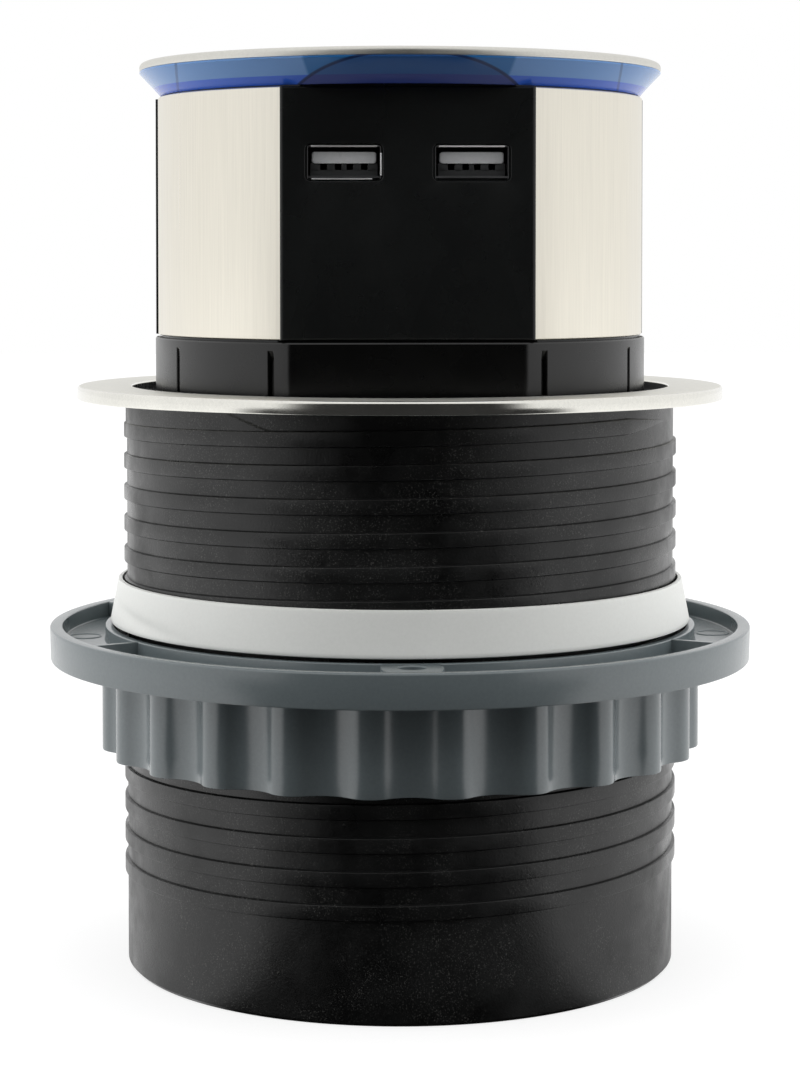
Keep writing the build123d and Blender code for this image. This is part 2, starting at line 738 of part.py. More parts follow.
with BuildPart() as usb_insulators:
    with BuildSketch(face_plane(front_angle, shell_back)):
        with Locations(*[(x, port_rise) for x in port_places.values()]):
            Rectangle(*shell_inner)
    extrude(amount=insulator_back)
    with BuildSketch(face_plane(front_angle, shell_back)):
        with Locations(*[(x, port_rise - shell_inner[1] / 2) for x in port_places.values()]):
            Rectangle(shell_inner[0], insulator_step_height, align=(Align.CENTER, Align.MIN))
    extrude(amount=insulator_step)
    with BuildSketch(face_plane(front_angle, insulator_front)):
        for port_x in port_places.values():
            with Locations(*[(port_x + dx, port_rise - shell_inner[1] / 2 + insulator_step_height / 2)
                             for dx in contact_offsets]):
                Rectangle(contact_slot_width, insulator_step_height)
    extrude(amount=insulator_step, mode=Mode.SUBTRACT)
usb_insulators.part.label = "usb_insulators"
export_step(usb_insulators.part, "parts/usb_insulators.step")

with BuildPart() as usb_board:
    with BuildSketch(face_plane(front_angle, shell_back)):
        with Locations((0, port_rise - port_board_drop)):
            Rectangle(*port_board_size)
    extrude(amount=-port_board_thickness)
usb_board.part.label = "usb_board"
export_step(usb_board.part, "parts/usb_board.step")

# Socket faces, wells, shutters and contacts
pins = [(-pin_spacing / 2, 0), (pin_spacing / 2, 0)]
shutter_pins = around(pin_spacing / 2, (-shutter_turn, 180 - shutter_turn))
earth_top = well_r - earth_inset
earth_bottom = earth_top - earth_thickness
earth_points = (
    (0, earth_bottom),
    (0, earth_top),
    (earth_length, earth_top),
    (earth_length, earth_bottom),
    (earth_bulge_tip, earth_bottom - earth_bulge),
    (earth_bulge_start, earth_bottom),
)

for side, angle in socket_angles.items():
    with BuildPart() as socket_face:
        add(face_plate(angle))
        with BuildSketch(face_plane(angle, face_distance)):
            Circle(well_r)
        extrude(amount=-face_thickness, mode=Mode.SUBTRACT)
    socket_face.part.label = f"socket_face_{side}"
    export_step(socket_face.part, f"parts/socket_face_{side}.step")

    with BuildPart() as socket_well:
        with BuildSketch(face_plane(angle, well_back)):
            Circle(well_r + well_wall)
        extrude(amount=face_back - well_back)
        with BuildSketch(face_plane(angle, well_bottom)):
            Circle(well_r)
        extrude(amount=face_back - well_bottom, mode=Mode.SUBTRACT)
        with BuildSketch(face_plane(angle, well_bottom)):
            with Locations((-well_r, 0), (well_r, 0)):
                Rectangle(2 * key_rise, key_width)
            Circle(well_r + well_wall / 2, mode=Mode.INTERSECT)
        extrude(amount=face_back - well_bottom)
        with BuildSketch(face_plane(angle, well_back)):
            with Locations(*pins):
                Circle(pin_hole_r)
        extrude(amount=well_floor, mode=Mode.SUBTRACT)
        with BuildSketch(face_plane(angle, well_back)):
            Circle(pivot_r)
        extrude(amount=block_front - well_back)
    socket_well.part.label = f"socket_well_{side}"
    export_step(socket_well.part, f"parts/socket_well_{side}.step")

    clip_plane = Plane(face_plane(angle, well_bottom).origin, x_dir=face_plane(angle, 0).z_dir,
                       z_dir=-face_plane(angle, 0).x_dir)
    with BuildPart() as earth_clips:
        for flip in (1, -1):
            with BuildSketch(clip_plane):
                Polygon(*[(x, flip * y) for x, y in earth_points], align=None)
            extrude(amount=earth_width / 2, both=True)
    earth_clips.part.label = f"earth_clips_{side}"
    export_step(earth_clips.part, f"parts/earth_clips_{side}.step")

    with BuildPart() as shutter:
        with BuildSketch(face_plane(angle, shutter_back)):
            Circle(shutter_r)
            Circle(pivot_r + pivot_clearance, mode=Mode.SUBTRACT)
            with Locations(*shutter_pins):
                Circle(shutter_hole_r, mode=Mode.SUBTRACT)
        extrude(amount=shutter_thickness)
    shutter.part.label = f"shutter_{side}"
    export_step(shutter.part, f"parts/shutter_{side}.step")

    with BuildPart() as contact_block:
        with BuildSketch(face_plane(angle, block_back)):
            RectangleRounded(contact_block_size[0], contact_block_size[1], contact_block_radius)
            with Locations(*pins):
                Circle(contact_r + contact_clearance, mode=Mode.SUBTRACT)
        extrude(amount=contact_block_size[2])
        with BuildSketch(face_plane(angle, block_front)):
            with GridLocations(contact_block_size[0] - contact_leg_width, 0, 2, 1):
                Rectangle(contact_leg_width, contact_leg_height)
        extrude(amount=well_back - block_front)
    contact_block.part.label = f"contact_block_{side}"
    export_step(contact_block.part, f"parts/contact_block_{side}.step")

    with BuildPart() as pin_contacts:
        with BuildSketch(face_plane(angle, block_back + contact_setback)):
            with Locations(*pins):
                Circle(contact_r)
                Circle(contact_r - contact_wall, mode=Mode.SUBTRACT)
        extrude(amount=contact_block_size[2] - 2 * contact_setback)
    pin_contacts.part.label = f"pin_contacts_{side}"
    export_step(pin_contacts.part, f"parts/pin_contacts_{side}.step")

print("stroke", round(stroke, 2), "pressed plate bottom", round(z_plate_bottom - stroke, 2))
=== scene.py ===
"""Looks of a round socket tower that rises from a threaded worktop sleeve."""

import json
import math

import bpy
import numpy as np
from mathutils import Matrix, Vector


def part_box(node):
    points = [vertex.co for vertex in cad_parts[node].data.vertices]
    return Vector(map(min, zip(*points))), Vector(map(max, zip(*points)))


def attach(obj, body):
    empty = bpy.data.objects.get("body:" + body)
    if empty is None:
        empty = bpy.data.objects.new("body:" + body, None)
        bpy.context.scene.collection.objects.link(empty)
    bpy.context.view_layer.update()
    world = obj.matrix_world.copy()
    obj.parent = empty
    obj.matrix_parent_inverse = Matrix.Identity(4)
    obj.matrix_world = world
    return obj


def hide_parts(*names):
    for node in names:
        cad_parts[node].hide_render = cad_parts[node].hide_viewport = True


bl_info = {
    "name": "Pop-up socket unit",
    "version": (1, 0, 0),
    "blender": (4, 5, 0),
    "location": "View3D > Sidebar > Socket unit",
    "description": "Builds the surfaces, finishes and stage of a pop-up worktop socket unit",
    "category": "Object",
}

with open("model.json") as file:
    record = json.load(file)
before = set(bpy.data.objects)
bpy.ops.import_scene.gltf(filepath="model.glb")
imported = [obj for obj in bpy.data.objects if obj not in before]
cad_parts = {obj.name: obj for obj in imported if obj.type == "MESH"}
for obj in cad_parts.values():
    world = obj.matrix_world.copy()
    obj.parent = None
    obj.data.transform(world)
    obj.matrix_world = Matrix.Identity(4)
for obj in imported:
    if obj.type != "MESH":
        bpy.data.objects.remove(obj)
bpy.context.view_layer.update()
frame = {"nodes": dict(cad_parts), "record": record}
MM = 0.001
TURN = 2 * np.pi
FRONT = -90.0
FLATS = (-90.0, 30.0, 150.0)
ARCS = {"right": -30.0, "back": 90.0, "left": 210.0}
SOCKETS = {"right": 30.0, "left": 150.0}


def node_box(node):
    """Lowest and highest corner of a CAD node, in millimetres."""
    low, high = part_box(node)
    return np.array(low) / MM, np.array(high) / MM


TRIM = node_box("trim_ring")
TUBE = node_box("housing_tube")
NUT = node_box("clamp_nut")
SEAL = node_box("seal_ring")
CAP = node_box("cap_plate")
RING = node_box("light_ring")
SKIRT = node_box("tower_skirt")
PANEL = node_box("steel_panel_back")
TONGUE = node_box("usb_tongue_left")
SHELL = node_box("usb_shell_left")
PORT_DROP = 0.2
PORT_Z = (SHELL[0][2] + SHELL[1][2]) / 2 - PORT_DROP
TONGUE_Z = (TONGUE[0][2] + TONGUE[1][2]) / 2 - PORT_DROP


def amount(name, description, default, unit="NONE"):
    """A number that a user can change: lengths in millimetres, angles in degrees, unless a unit is given."""
    return bpy.props.FloatProperty(name=name, description=description, default=default, unit=unit)


def tint(name, description, default):
    """A base colour that a user can change."""
    return bpy.props.FloatVectorProperty(name=name, description=description, subtype="COLOR", default=default)


class SocketUnitSizes(bpy.types.PropertyGroup):
    """Sizes of the visible forms, in millimetres."""

    tube_r: amount("Tube radius", "Radius at the root of the thread", 50.9)
    bore_r: amount("Bore radius", "Radius of the tube's bore", 48.9)
    pitch: amount("Thread pitch", "Rise of the thread in one turn", 5.75)
    thread_height: amount("Thread height", "Height of the ridge", 0.55)
    ridge_width: amount("Ridge width", "Width of the ridge's foot", 2.95)
    thread_bottom: amount("Thread bottom", "Ridge's lowest middle in front, less a quarter pitch", 18.1)
    thread_turns: amount("Thread turns", "Turns of the thread", 14.66)
    trim_bore_r: amount("Trim bore", "Inner radius of the trim ring", 49.9)
    trim_sheet: amount("Trim sheet", "Steel's thickness at the bore", 0.4)
    rebate_r: amount("Rebate", "Radius of the trim ring's rebate", 51.0)
    lip_r: amount("Guide lip", "Radius inside the tube's lip", 45.92)
    lip_flat: amount("Lip flat", "Distance of the lip's flats", 41.1)
    lip_height: amount("Lip height", "Height of the guide lip", 12.0)
    flute_count: bpy.props.IntProperty(name="Flutes", description="Flutes round the nut's skirt", default=24)
    flute_crest_r: amount("Flute crest", "Radius of the flutes' crests", 55.7)
    flute_valley_r: amount("Flute valley", "Radius of their valleys", 53.3)
    flute_turn: amount("Flute turn", "Valley to the arcs' meeting point", 4.1)
    flange_r: amount("Flange radius", "Outer radius of the flange", 65.2)
    hub_r: amount("Hub radius", "Outer radius of the nut's hub", 55.0)
    hub_bore_r: amount("Hub bore", "Inner radius at the hub's top", 53.5)
    nut_bore_r: amount("Nut bore", "Inner radius of the nut", 51.75)
    rim_bore_r: amount("Rim bore", "Inner radius of the flange's rim", 62.9)
    pocket_depth: amount("Pocket depth", "Depth of the open pocket", 2.9)
    pocket_fill: amount("Fill drop", "Bosses and ribs below the rim", 0.02)
    flange_height: amount("Flange height", "Height of the flange", 6.0)
    boss_r: amount("Boss radius", "Radius of a screw boss", 5.4)
    boss_hole_r: amount("Boss hole", "Radius of the hole in a boss", 2.3)
    rib_width: amount("Rib width", "Width of a pocket rib", 1.0)
    seal_taper: amount("Seal taper", "Narrowing of the seal upwards", 1.4)
    seal_hang: amount("Seal hang", "Seal's edge below its body", 0.6)
    face_distance: amount("Face distance", "Face to axis", 39.9)
    corner_r: amount("Corner radius", "Face corners to axis", 45.82)
    well_r: amount("Well radius", "Radius of a socket's well", 19.5)
    panel_r: amount("Panel radius", "Outer radius of a panel", 45.0)
    panel_half: amount("Panel half angle", "Half the panel's sweep", 31.0)
    cap_r: amount("Cap radius", "Radius of the cap plate", 48.4)
    cap_drop: amount("Cap drop", "Cap's steel below its plate", 0.25)
    crown_r: amount("Crown radius", "Radius of the crown's foot", 44.0)
    skirt_r: amount("Skirt radius", "Outer radius of the skirt", 45.5)
    skirt_flat: amount("Skirt flat", "Distance of its flats", 40.7)
    groove_width: amount("Groove width", "Width of a skirt groove", 0.95)
    groove_depth: amount("Groove depth", "Depth of a skirt groove", 1.0)
    port_x: amount("Port place", "Port middle to face middle", 11.0)


class SocketUnitColours(bpy.types.PropertyGroup):
    """Base colours of the finishes."""

    black: tint("Black", "Moulded black of the tower", (0.0085, 0.0092, 0.0092))
    tube: tint("Tube", "Matte black of the sleeve", (0.0030, 0.0032, 0.0032))
    steel: tint("Steel", "Brushed steel", (0.79, 0.755, 0.665))
    trim: tint("Trim", "Steel of the trim ring", (0.785, 0.775, 0.72))
    cap: tint("Cap", "Steel of the cap plate", (0.69, 0.68, 0.635))
    nut: tint("Nut", "Blue-grey plastic", (0.143, 0.170, 0.179))
    seal: tint("Seal", "White band", (0.88, 0.89, 0.86))
    # Painted light and shade on the light ring: its upper blue is painted light, and the blues before and
    # beside each flat of the crown are painted shade.
    lens: tint("Lens", "Upper blue of the light ring", (0.165, 0.345, 0.71))
    lens_low: tint("Lens below", "Lower blue of the light ring", (0.043, 0.145, 0.70))
    arch: tint("Arch", "Upper blue before a flat", (0.029, 0.105, 0.31))
    beside: tint("Beside the arch", "Upper blue beside an arch", (0.028, 0.17, 0.46))
    arch_low: tint("Arch below", "Lower blue before a flat", (0.036, 0.060, 0.26))


class SocketUnitStage(bpy.types.PropertyGroup):
    """Camera and light."""

    distance: amount("Distance", "Camera to axis", 0.4972, "LENGTH")
    azimuth: amount("Azimuth", "Turn of the camera", -2.0)
    eye_height: amount("Eye height", "Camera height", 0.13103, "LENGTH")
    lens: amount("Lens", "Focal length for a 36 mm sensor", 88.75)
    pitch: amount("Pitch", "Downward tilt in degrees", 2.0)
    shift: amount("Shift", "Vertical lens shift", -0.178)
    key: amount("Key light", "Power of the top light in watts", 0.9)
    side: amount("Side light", "Power of each side light in watts", 1.2)
    front: amount("Dark front", "Level of the studio's dark front", 0.028)
    patch_core: amount("Patch core", "Half angle of the dark patch", 32.0)
    patch_edge: amount("Patch edge", "Half angle at its soft edge", 46.5)


def sizes():
    return bpy.context.scene.socket_unit_sizes


def colours():
    return bpy.context.scene.socket_unit_colours


# Surfaces


def loft(stations, closed=True):
    """Joins a path of closed profiles (path, profile, xyz) by quads; an open path gets a fan at each end."""
    rows, columns, _ = stations.shape
    points = stations.reshape(-1, 3)
    index = np.arange(rows * columns).reshape(rows, columns)
    first = index if closed else index[:-1]
    second = np.roll(index, -1, axis=0) if closed else index[1:]
    quads = np.stack([first, np.roll(first, -1, 1), np.roll(second, -1, 1), second], axis=-1).reshape(-1, 4)
    faces = quads.tolist()
    if not closed:
        ends = np.stack([stations[0].mean(axis=0), stations[-1].mean(axis=0)])
        count = len(points)
        points = np.concatenate([points, ends])
        low, high = index[0], index[-1]
        faces += np.stack([np.full(columns, count), np.roll(low, -1), low], axis=-1).tolist()
        faces += np.stack([np.full(columns, count + 1), high, np.roll(high, -1)], axis=-1).tolist()
    return points, faces


def volume(points, faces):
    """Signed volume of a closed surface: each face as a fan about its first corner."""
    quads = np.array([face if len(face) == 4 else [*face, face[-1]] for face in faces])
    a, b, c, d = np.moveaxis(points[quads], 1, 0)
    return np.sum(a * (np.cross(b, c) + np.cross(c, d))) / 6


def add_object(name, data):
    """An object for a mesh, lamp or camera, in the scene's collection."""
    thing = bpy.data.objects.new(name, data)
    bpy.context.collection.objects.link(thing)
    return thing


def build(name, body, surfaces, material, replaced=(), sharp=35.0):
    """Makes one object of closed surfaces given in millimetres, and puts it on its body."""
    points, faces, start = [], [], 0
    for part_points, part_faces in surfaces:
        if volume(part_points, part_faces) < 0:
            part_faces = [face[::-1] for face in part_faces]
        points.append(part_points)
        faces += [[corner + start for corner in face] for face in part_faces]
        start += len(part_points)
    mesh = bpy.data.meshes.new(name)
    mesh.from_pydata((np.concatenate(points) * MM).tolist(), [], faces)
    mesh.update()
    mesh.polygons.foreach_set("use_smooth", np.ones(len(mesh.polygons), dtype=bool))
    mesh.set_sharp_from_angle(angle=math.radians(sharp))
    mesh.materials.append(material)
    piece = add_object(name, mesh)
    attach(piece, body)
    if replaced:
        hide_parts(*replaced)


def rounded(corners, radii, steps=5):
    """A closed outline with each corner turned into an arc that touches both its sides."""
    corners = np.asarray(corners, dtype=float)
    before, after = np.roll(corners, 1, axis=0), np.roll(corners, -1, axis=0)
    outline = []
    for corner, last, following, radius in zip(corners, before, after, radii):
        if radius <= 0:
            outline.append(corner[None])
            continue
        a = (last - corner) / np.linalg.norm(last - corner)
        b = (following - corner) / np.linalg.norm(following - corner)
        half = np.arccos(np.clip(a @ b, -1, 1)) / 2
        reach = radius / np.tan(half)
        middle = corner + (a + b) / np.linalg.norm(a + b) * radius / np.sin(half)
        start, stop = corner + a * reach - middle, corner + b * reach - middle
        sweep = np.arccos(np.clip(start @ stop / radius**2, -1, 1))
        t = np.linspace(0, 1, steps)[:, None]
        arc = (np.sin((1 - t) * sweep) * start + np.sin(t * sweep) * stop) / np.sin(sweep)
        outline.append(middle + arc)
    return np.concatenate(outline)


def rounded_rectangle(width, depth, radius, middle=(0, 0)):
    """Outline of a rectangle with round corners, about its middle."""
    w, d = width / 2, depth / 2
    corners = np.array([(-w, -d), (w, -d), (w, d), (-w, d)]) + np.array(middle)
    return rounded(corners, [radius] * 4)


def round_about(columns):
    """Even angles once round the axis, in radians."""
    return np.linspace(0, TURN, columns, endpoint=False)


def across_front(angle):
    """Degrees from the front, between -180 and 180, of angles in radians, as a column."""
    return ((np.degrees(angle) - FRONT + 180) % 360 - 180)[:, None]


def polar(radius, angle, height):
    """Points at a radius, an angle in radians and a height, all of one shape."""
    radius, angle, height = np.broadcast_arrays(radius, angle, height)
    return np.stack([radius * np.cos(angle), radius * np.sin(angle), height], axis=-1)


def swept(radius, angle, height, closed=True):
    """A profile carried round the axis: radius and height may change with the angle."""
    return loft(polar(radius, angle[:, None], height), closed)


def revolve(outline):
    """A closed (radius, height) outline turned about the axis."""
    return swept(outline[:, 0], round_about(360), outline[:, 1])


def round_plate(outline):
    """A solid disc: an open (radius, height) outline from the bottom middle to the top middle."""
    return loft(polar(outline[:, :1], round_about(360), outline[:, 1:]), closed=False)


def flatted(radius, flat, angle):
    """Radius of a round section with three flats: the smaller of the round and of flat / cos."""
    away = np.min([np.abs((angle - np.radians(f) + np.pi) % TURN - np.pi) for f in FLATS], axis=0)
    steepest = np.radians(80)
    return np.minimum(radius, flat / np.cos(np.minimum(away, steepest)))


def stacked(rows):
    """Grid of points from rows (x, y, height): the rows follow each other in the profile."""
    return np.stack([np.stack([x, y, np.full_like(x, z)], axis=-1) for x, y, z in rows], axis=1)


def block(outline, bottom, top, edge):
    """A prism of a convex (x, y) outline with rounded edges: each level is the outline drawn in by an arc."""
    middle = outline.mean(axis=0)
    reach = np.linalg.norm(outline - middle, axis=1).max()
    t = np.linspace(0, np.pi / 2, 4)
    inset, rise = edge * (1 - np.sin(t)), edge * (1 - np.cos(t))
    inset, height = np.concatenate([inset, inset[::-1]]), np.concatenate([bottom + rise, top - rise[::-1]])
    scale = 1 - inset / reach
    plan = middle + (outline - middle)[None] * scale[:, None, None]
    level = np.broadcast_to(height[:, None, None], plan.shape[:2] + (1,))
    return loft(np.concatenate([plan, level], axis=-1), closed=False)


def turned(points, degrees):
    """Points turned about the axis: x cos - y sin, x sin + y cos, and z as it is."""
    c, n = math.cos(math.radians(degrees)), math.sin(math.radians(degrees))
    x, y, z = np.moveaxis(points, -1, 0)
    return np.stack([x * c - y * n, x * n + y * c, z], axis=-1)


def stand_up(surface, angle, distance, height):
    """Turns a surface from (along, up, outwards) of a face direction into the frame."""
    points, faces = surface
    along, up, out = np.moveaxis(points, -1, 0)
    return turned(np.stack([distance + out, along, height + up], axis=-1), angle), faces


# Materials


def shared_group(name, inputs, outputs):
    """Makes a function that fills a shader group into one that gives the group, and fills it only once.

    Inputs are (name, kind, value), outputs are (name, kind).
    """
    def filled_by(fill):
        def found():
            if name in bpy.data.node_groups:
                return bpy.data.node_groups[name]
            group = bpy.data.node_groups.new(name, "ShaderNodeTree")
            for label, kind, value in inputs:
                socket = group.interface.new_socket(label, in_out="INPUT", socket_type="NodeSocket" + kind)
                if value is not None:
                    socket.default_value = value
            for label, kind in outputs:
                group.interface.new_socket(label, in_out="OUTPUT", socket_type="NodeSocket" + kind)
            fill(group, group.nodes.new("NodeGroupInput").outputs, group.nodes.new("NodeGroupOutput").inputs)
            return group
        return found
    return filled_by


def feed(tree, value, socket):
    """Links an output to an input, or sets the input to a plain number, vector or (r, g, b)."""
    if isinstance(value, bpy.types.NodeSocket):
        tree.links.new(value, socket)
    elif value is not None:
        socket.default_value = (*value, 1) if socket.type == "RGBA" else value


def add_node(tree, kind, *feeds, **values):
    """Adds a node: values go to its own properties or named inputs, feeds to its inputs in their order."""
    node = tree.nodes.new("ShaderNode" + kind)
    for key, value in values.items():
        if hasattr(node, key):
            setattr(node, key, value)
        else:
            feed(tree, value, node.inputs[key.replace("_", " ")])
    for value, socket in zip(feeds, node.inputs):
        feed(tree, value, socket)
    return node


def source(tree, kind, output):
    """Output of a node that has no inputs to set."""
    return add_node(tree, kind).outputs[output]


def placed(tree, group, **values):
    """Outputs of a shared group, placed with its own values."""
    return add_node(tree, "Group", node_tree=group(), **values).outputs


def calculated(tree, operation, a, b=None):
    """Result of a Math node."""
    return add_node(tree, "Math", a, b, operation=operation).outputs[0]


def vector(tree, operation, a, b=None, result="Vector"):
    """Result of a Vector Math node."""
    return add_node(tree, "VectorMath", a, b, operation=operation).outputs[result]


def ranged(tree, value, *limits, kind="LINEAR"):
    """A value carried from between two limits to between two others, and held there."""
    return add_node(tree, "MapRange", value, *limits, interpolation_type=kind).outputs["Result"]


def mixed(tree, factor, a, b):
    """Colour between two others."""
    return add_node(tree, "Mix", data_type="RGBA", Factor=factor, A=a, B=b).outputs["Result"]


@shared_group("Grain", [("Fine scale", "Float", 1800.0), ("Cloud scale", "Float", 45.0),
                        ("Stretch", "Vector", (1, 1, 1))], [("Speckle", "Float"), ("Cloud", "Float")])
def grain_group(group, given, result):
    """Fine speckle and larger cloudy patches, for moulded and brushed surfaces: two masks from noise."""
    place = vector(group, "MULTIPLY", source(group, "TexCoord", "Object"), given["Stretch"])
    fine = add_node(group, "TexNoise", Vector=place, Scale=given["Fine scale"], Detail=2.0, Roughness=0.6)
    cloud = add_node(group, "TexNoise", Vector=place, Scale=given["Cloud scale"], Detail=4.0, Roughness=0.65)
    feed(group, fine.outputs["Fac"], result["Speckle"])
    feed(group, cloud.outputs["Fac"], result["Cloud"])


@shared_group("Spread", [("Mask", "Float", 0.5), ("From", "Float", 0.35), ("To", "Float", 0.65),
                         ("Low", "Float", 0.0), ("High", "Float", 1.0)], [("Value", "Float")])
def ramp_group(group, given, result):
    """Carries a mask from between From and To to between Low and High."""
    limits = (given[name] for name in ("From", "To", "Low", "High"))
    feed(group, ranged(group, given["Mask"], *limits), result["Value"])


@shared_group("Dark front", [("Direction", "Vector", None), ("Seen", "Float", 0.0)], [("Level", "Float")])
def front_group(group, given, result):
    """Level of light from a direction: low in a soft round patch about the front, full elsewhere."""
    stage = bpy.context.scene.socket_unit_stage
    core, edge = (-math.cos(math.radians(angle)) for angle in (stage.patch_core, stage.patch_edge))
    unit = vector(group, "NORMALIZE", given["Direction"])
    backwards = add_node(group, "SeparateXYZ", unit).outputs["Y"]
    patch = ranged(group, backwards, core, edge, stage.front, 1.0, kind="SMOOTHSTEP")
    feed(group, calculated(group, "MAXIMUM", patch, given["Seen"]), result["Level"])


def ramped(tree, mask, **limits):
    """A mask between its own limits."""
    return placed(tree, ramp_group, Mask=mask, **limits)[0]


def finish(name, colour, roughness, metallic=0.0, shade=0.12, rough_spread=0.08, bump=0.0,
           bump_distance=0.00005, fine=1800.0, cloud=45.0, stretch=(1, 1, 1), specular=0.5, transmission=0.0,
           level_roughness=None, painted=None):
    """One finish: its colour darkened and lightened by speckle and cloud, with its own gloss and relief.

    level_roughness holds where the surface lies level, and painted puts a pattern over the colour.
    """
    if name in bpy.data.materials:
        return bpy.data.materials[name]
    material = bpy.data.materials.new(name)
    material.use_nodes = True
    tree = material.node_tree
    shader = tree.nodes["Principled BSDF"].inputs
    shader["Metallic"].default_value = metallic
    shader["Specular IOR Level"].default_value = specular
    shader["Transmission Weight"].default_value = transmission
    shader["IOR"].default_value = 1.45
    speckle, clouds = placed(tree, grain_group, Fine_scale=fine, Cloud_scale=cloud, Stretch=stretch)
    both = calculated(tree, "MULTIPLY", calculated(tree, "ADD", speckle, clouds), 0.5)
    darker, lighter = ([c * level for c in colour] for level in (1 - shade, 1 + shade))
    plain = mixed(tree, ramped(tree, both), darker, lighter)
    feed(tree, painted(tree, plain) if painted else plain, shader["Base Color"])
    gloss = ramped(tree, clouds, Low=roughness - rough_spread, High=roughness + rough_spread)
    if level_roughness is not None:
        upwards = add_node(tree, "SeparateXYZ", source(tree, "NewGeometry", "Normal")).outputs["Z"]
        nearly_level = 0.85
        more = ranged(tree, upwards, nearly_level, 1.0, 0.0, level_roughness - roughness)
        gloss = calculated(tree, "ADD", gloss, more)
    feed(tree, gloss, shader["Roughness"])
    if bump > 0:
        relief = add_node(tree, "Bump", Strength=bump, Distance=bump_distance, Height=speckle)
        feed(tree, relief.outputs["Normal"], shader["Normal"])
    return material


def black_plastic():
    return finish("Moulded black", colours().black, 0.27, shade=0.25, bump=0.06, rough_spread=0.04)


def skirt_plastic_painted_shade():
    # Painted shade: the skirt's black is much darker than the moulded black of the tower's faces.
    return finish("Glossy black with painted shade", (0.0006, 0.0006, 0.0006), 0.27, shade=0.25, bump=0.05, rough_spread=0.04,
                  specular=0.62)


def dusty(tree, plain):
    """Pale specks over a colour: fine grains, only where a cloudy mask is high too."""
    speckle, clouds = placed(tree, grain_group, Fine_scale=3600.0, Cloud_scale=75.0)
    specks, patches = ramped(tree, speckle, From=0.57, To=0.70), ramped(tree, clouds, From=0.42, To=0.56)
    return mixed(tree, calculated(tree, "MULTIPLY", specks, patches), plain, (0.078, 0.078, 0.074))


def tube_plastic():
    return finish("Matte black sleeve", colours().tube, 0.36, shade=0.9, bump=0.5, bump_distance=0.00006,
                  fine=2300.0, cloud=60.0, rough_spread=0.12, specular=0.6, painted=dusty)


def brushed_panel():
    return finish("Upright brushed steel", colours().steel, 0.34, metallic=1.0, shade=0.05, bump=0.25,
                  fine=2600.0, cloud=70.0, stretch=(1, 1, 0.02), bump_distance=0.00002)


def brushed_ring():
    return finish("Turned steel", colours().trim, 0.14, metallic=1.0, shade=0.05, bump=0.12, fine=1900.0,
                  cloud=90.0, bump_distance=0.00002, rough_spread=0.04, level_roughness=0.5)


def brushed_cap():
    return finish("Brushed cap steel", colours().cap, 0.42, metallic=1.0, shade=0.05, bump=0.15, fine=1900.0,
                  cloud=90.0, bump_distance=0.00002, rough_spread=0.04)


def nut_plastic():
    return finish("Blue-grey nylon", colours().nut, 0.22, shade=0.06, bump=0.04, cloud=35.0,
                  rough_spread=0.03, specular=1.0)


def seal_rubber():
    return finish("White band", colours().seal, 0.45, shade=0.025, bump=0.05, specular=0.4)


def insulator_plastic():
    return finish("Port insulator", (0.032, 0.033, 0.034), 0.5, shade=0.15)


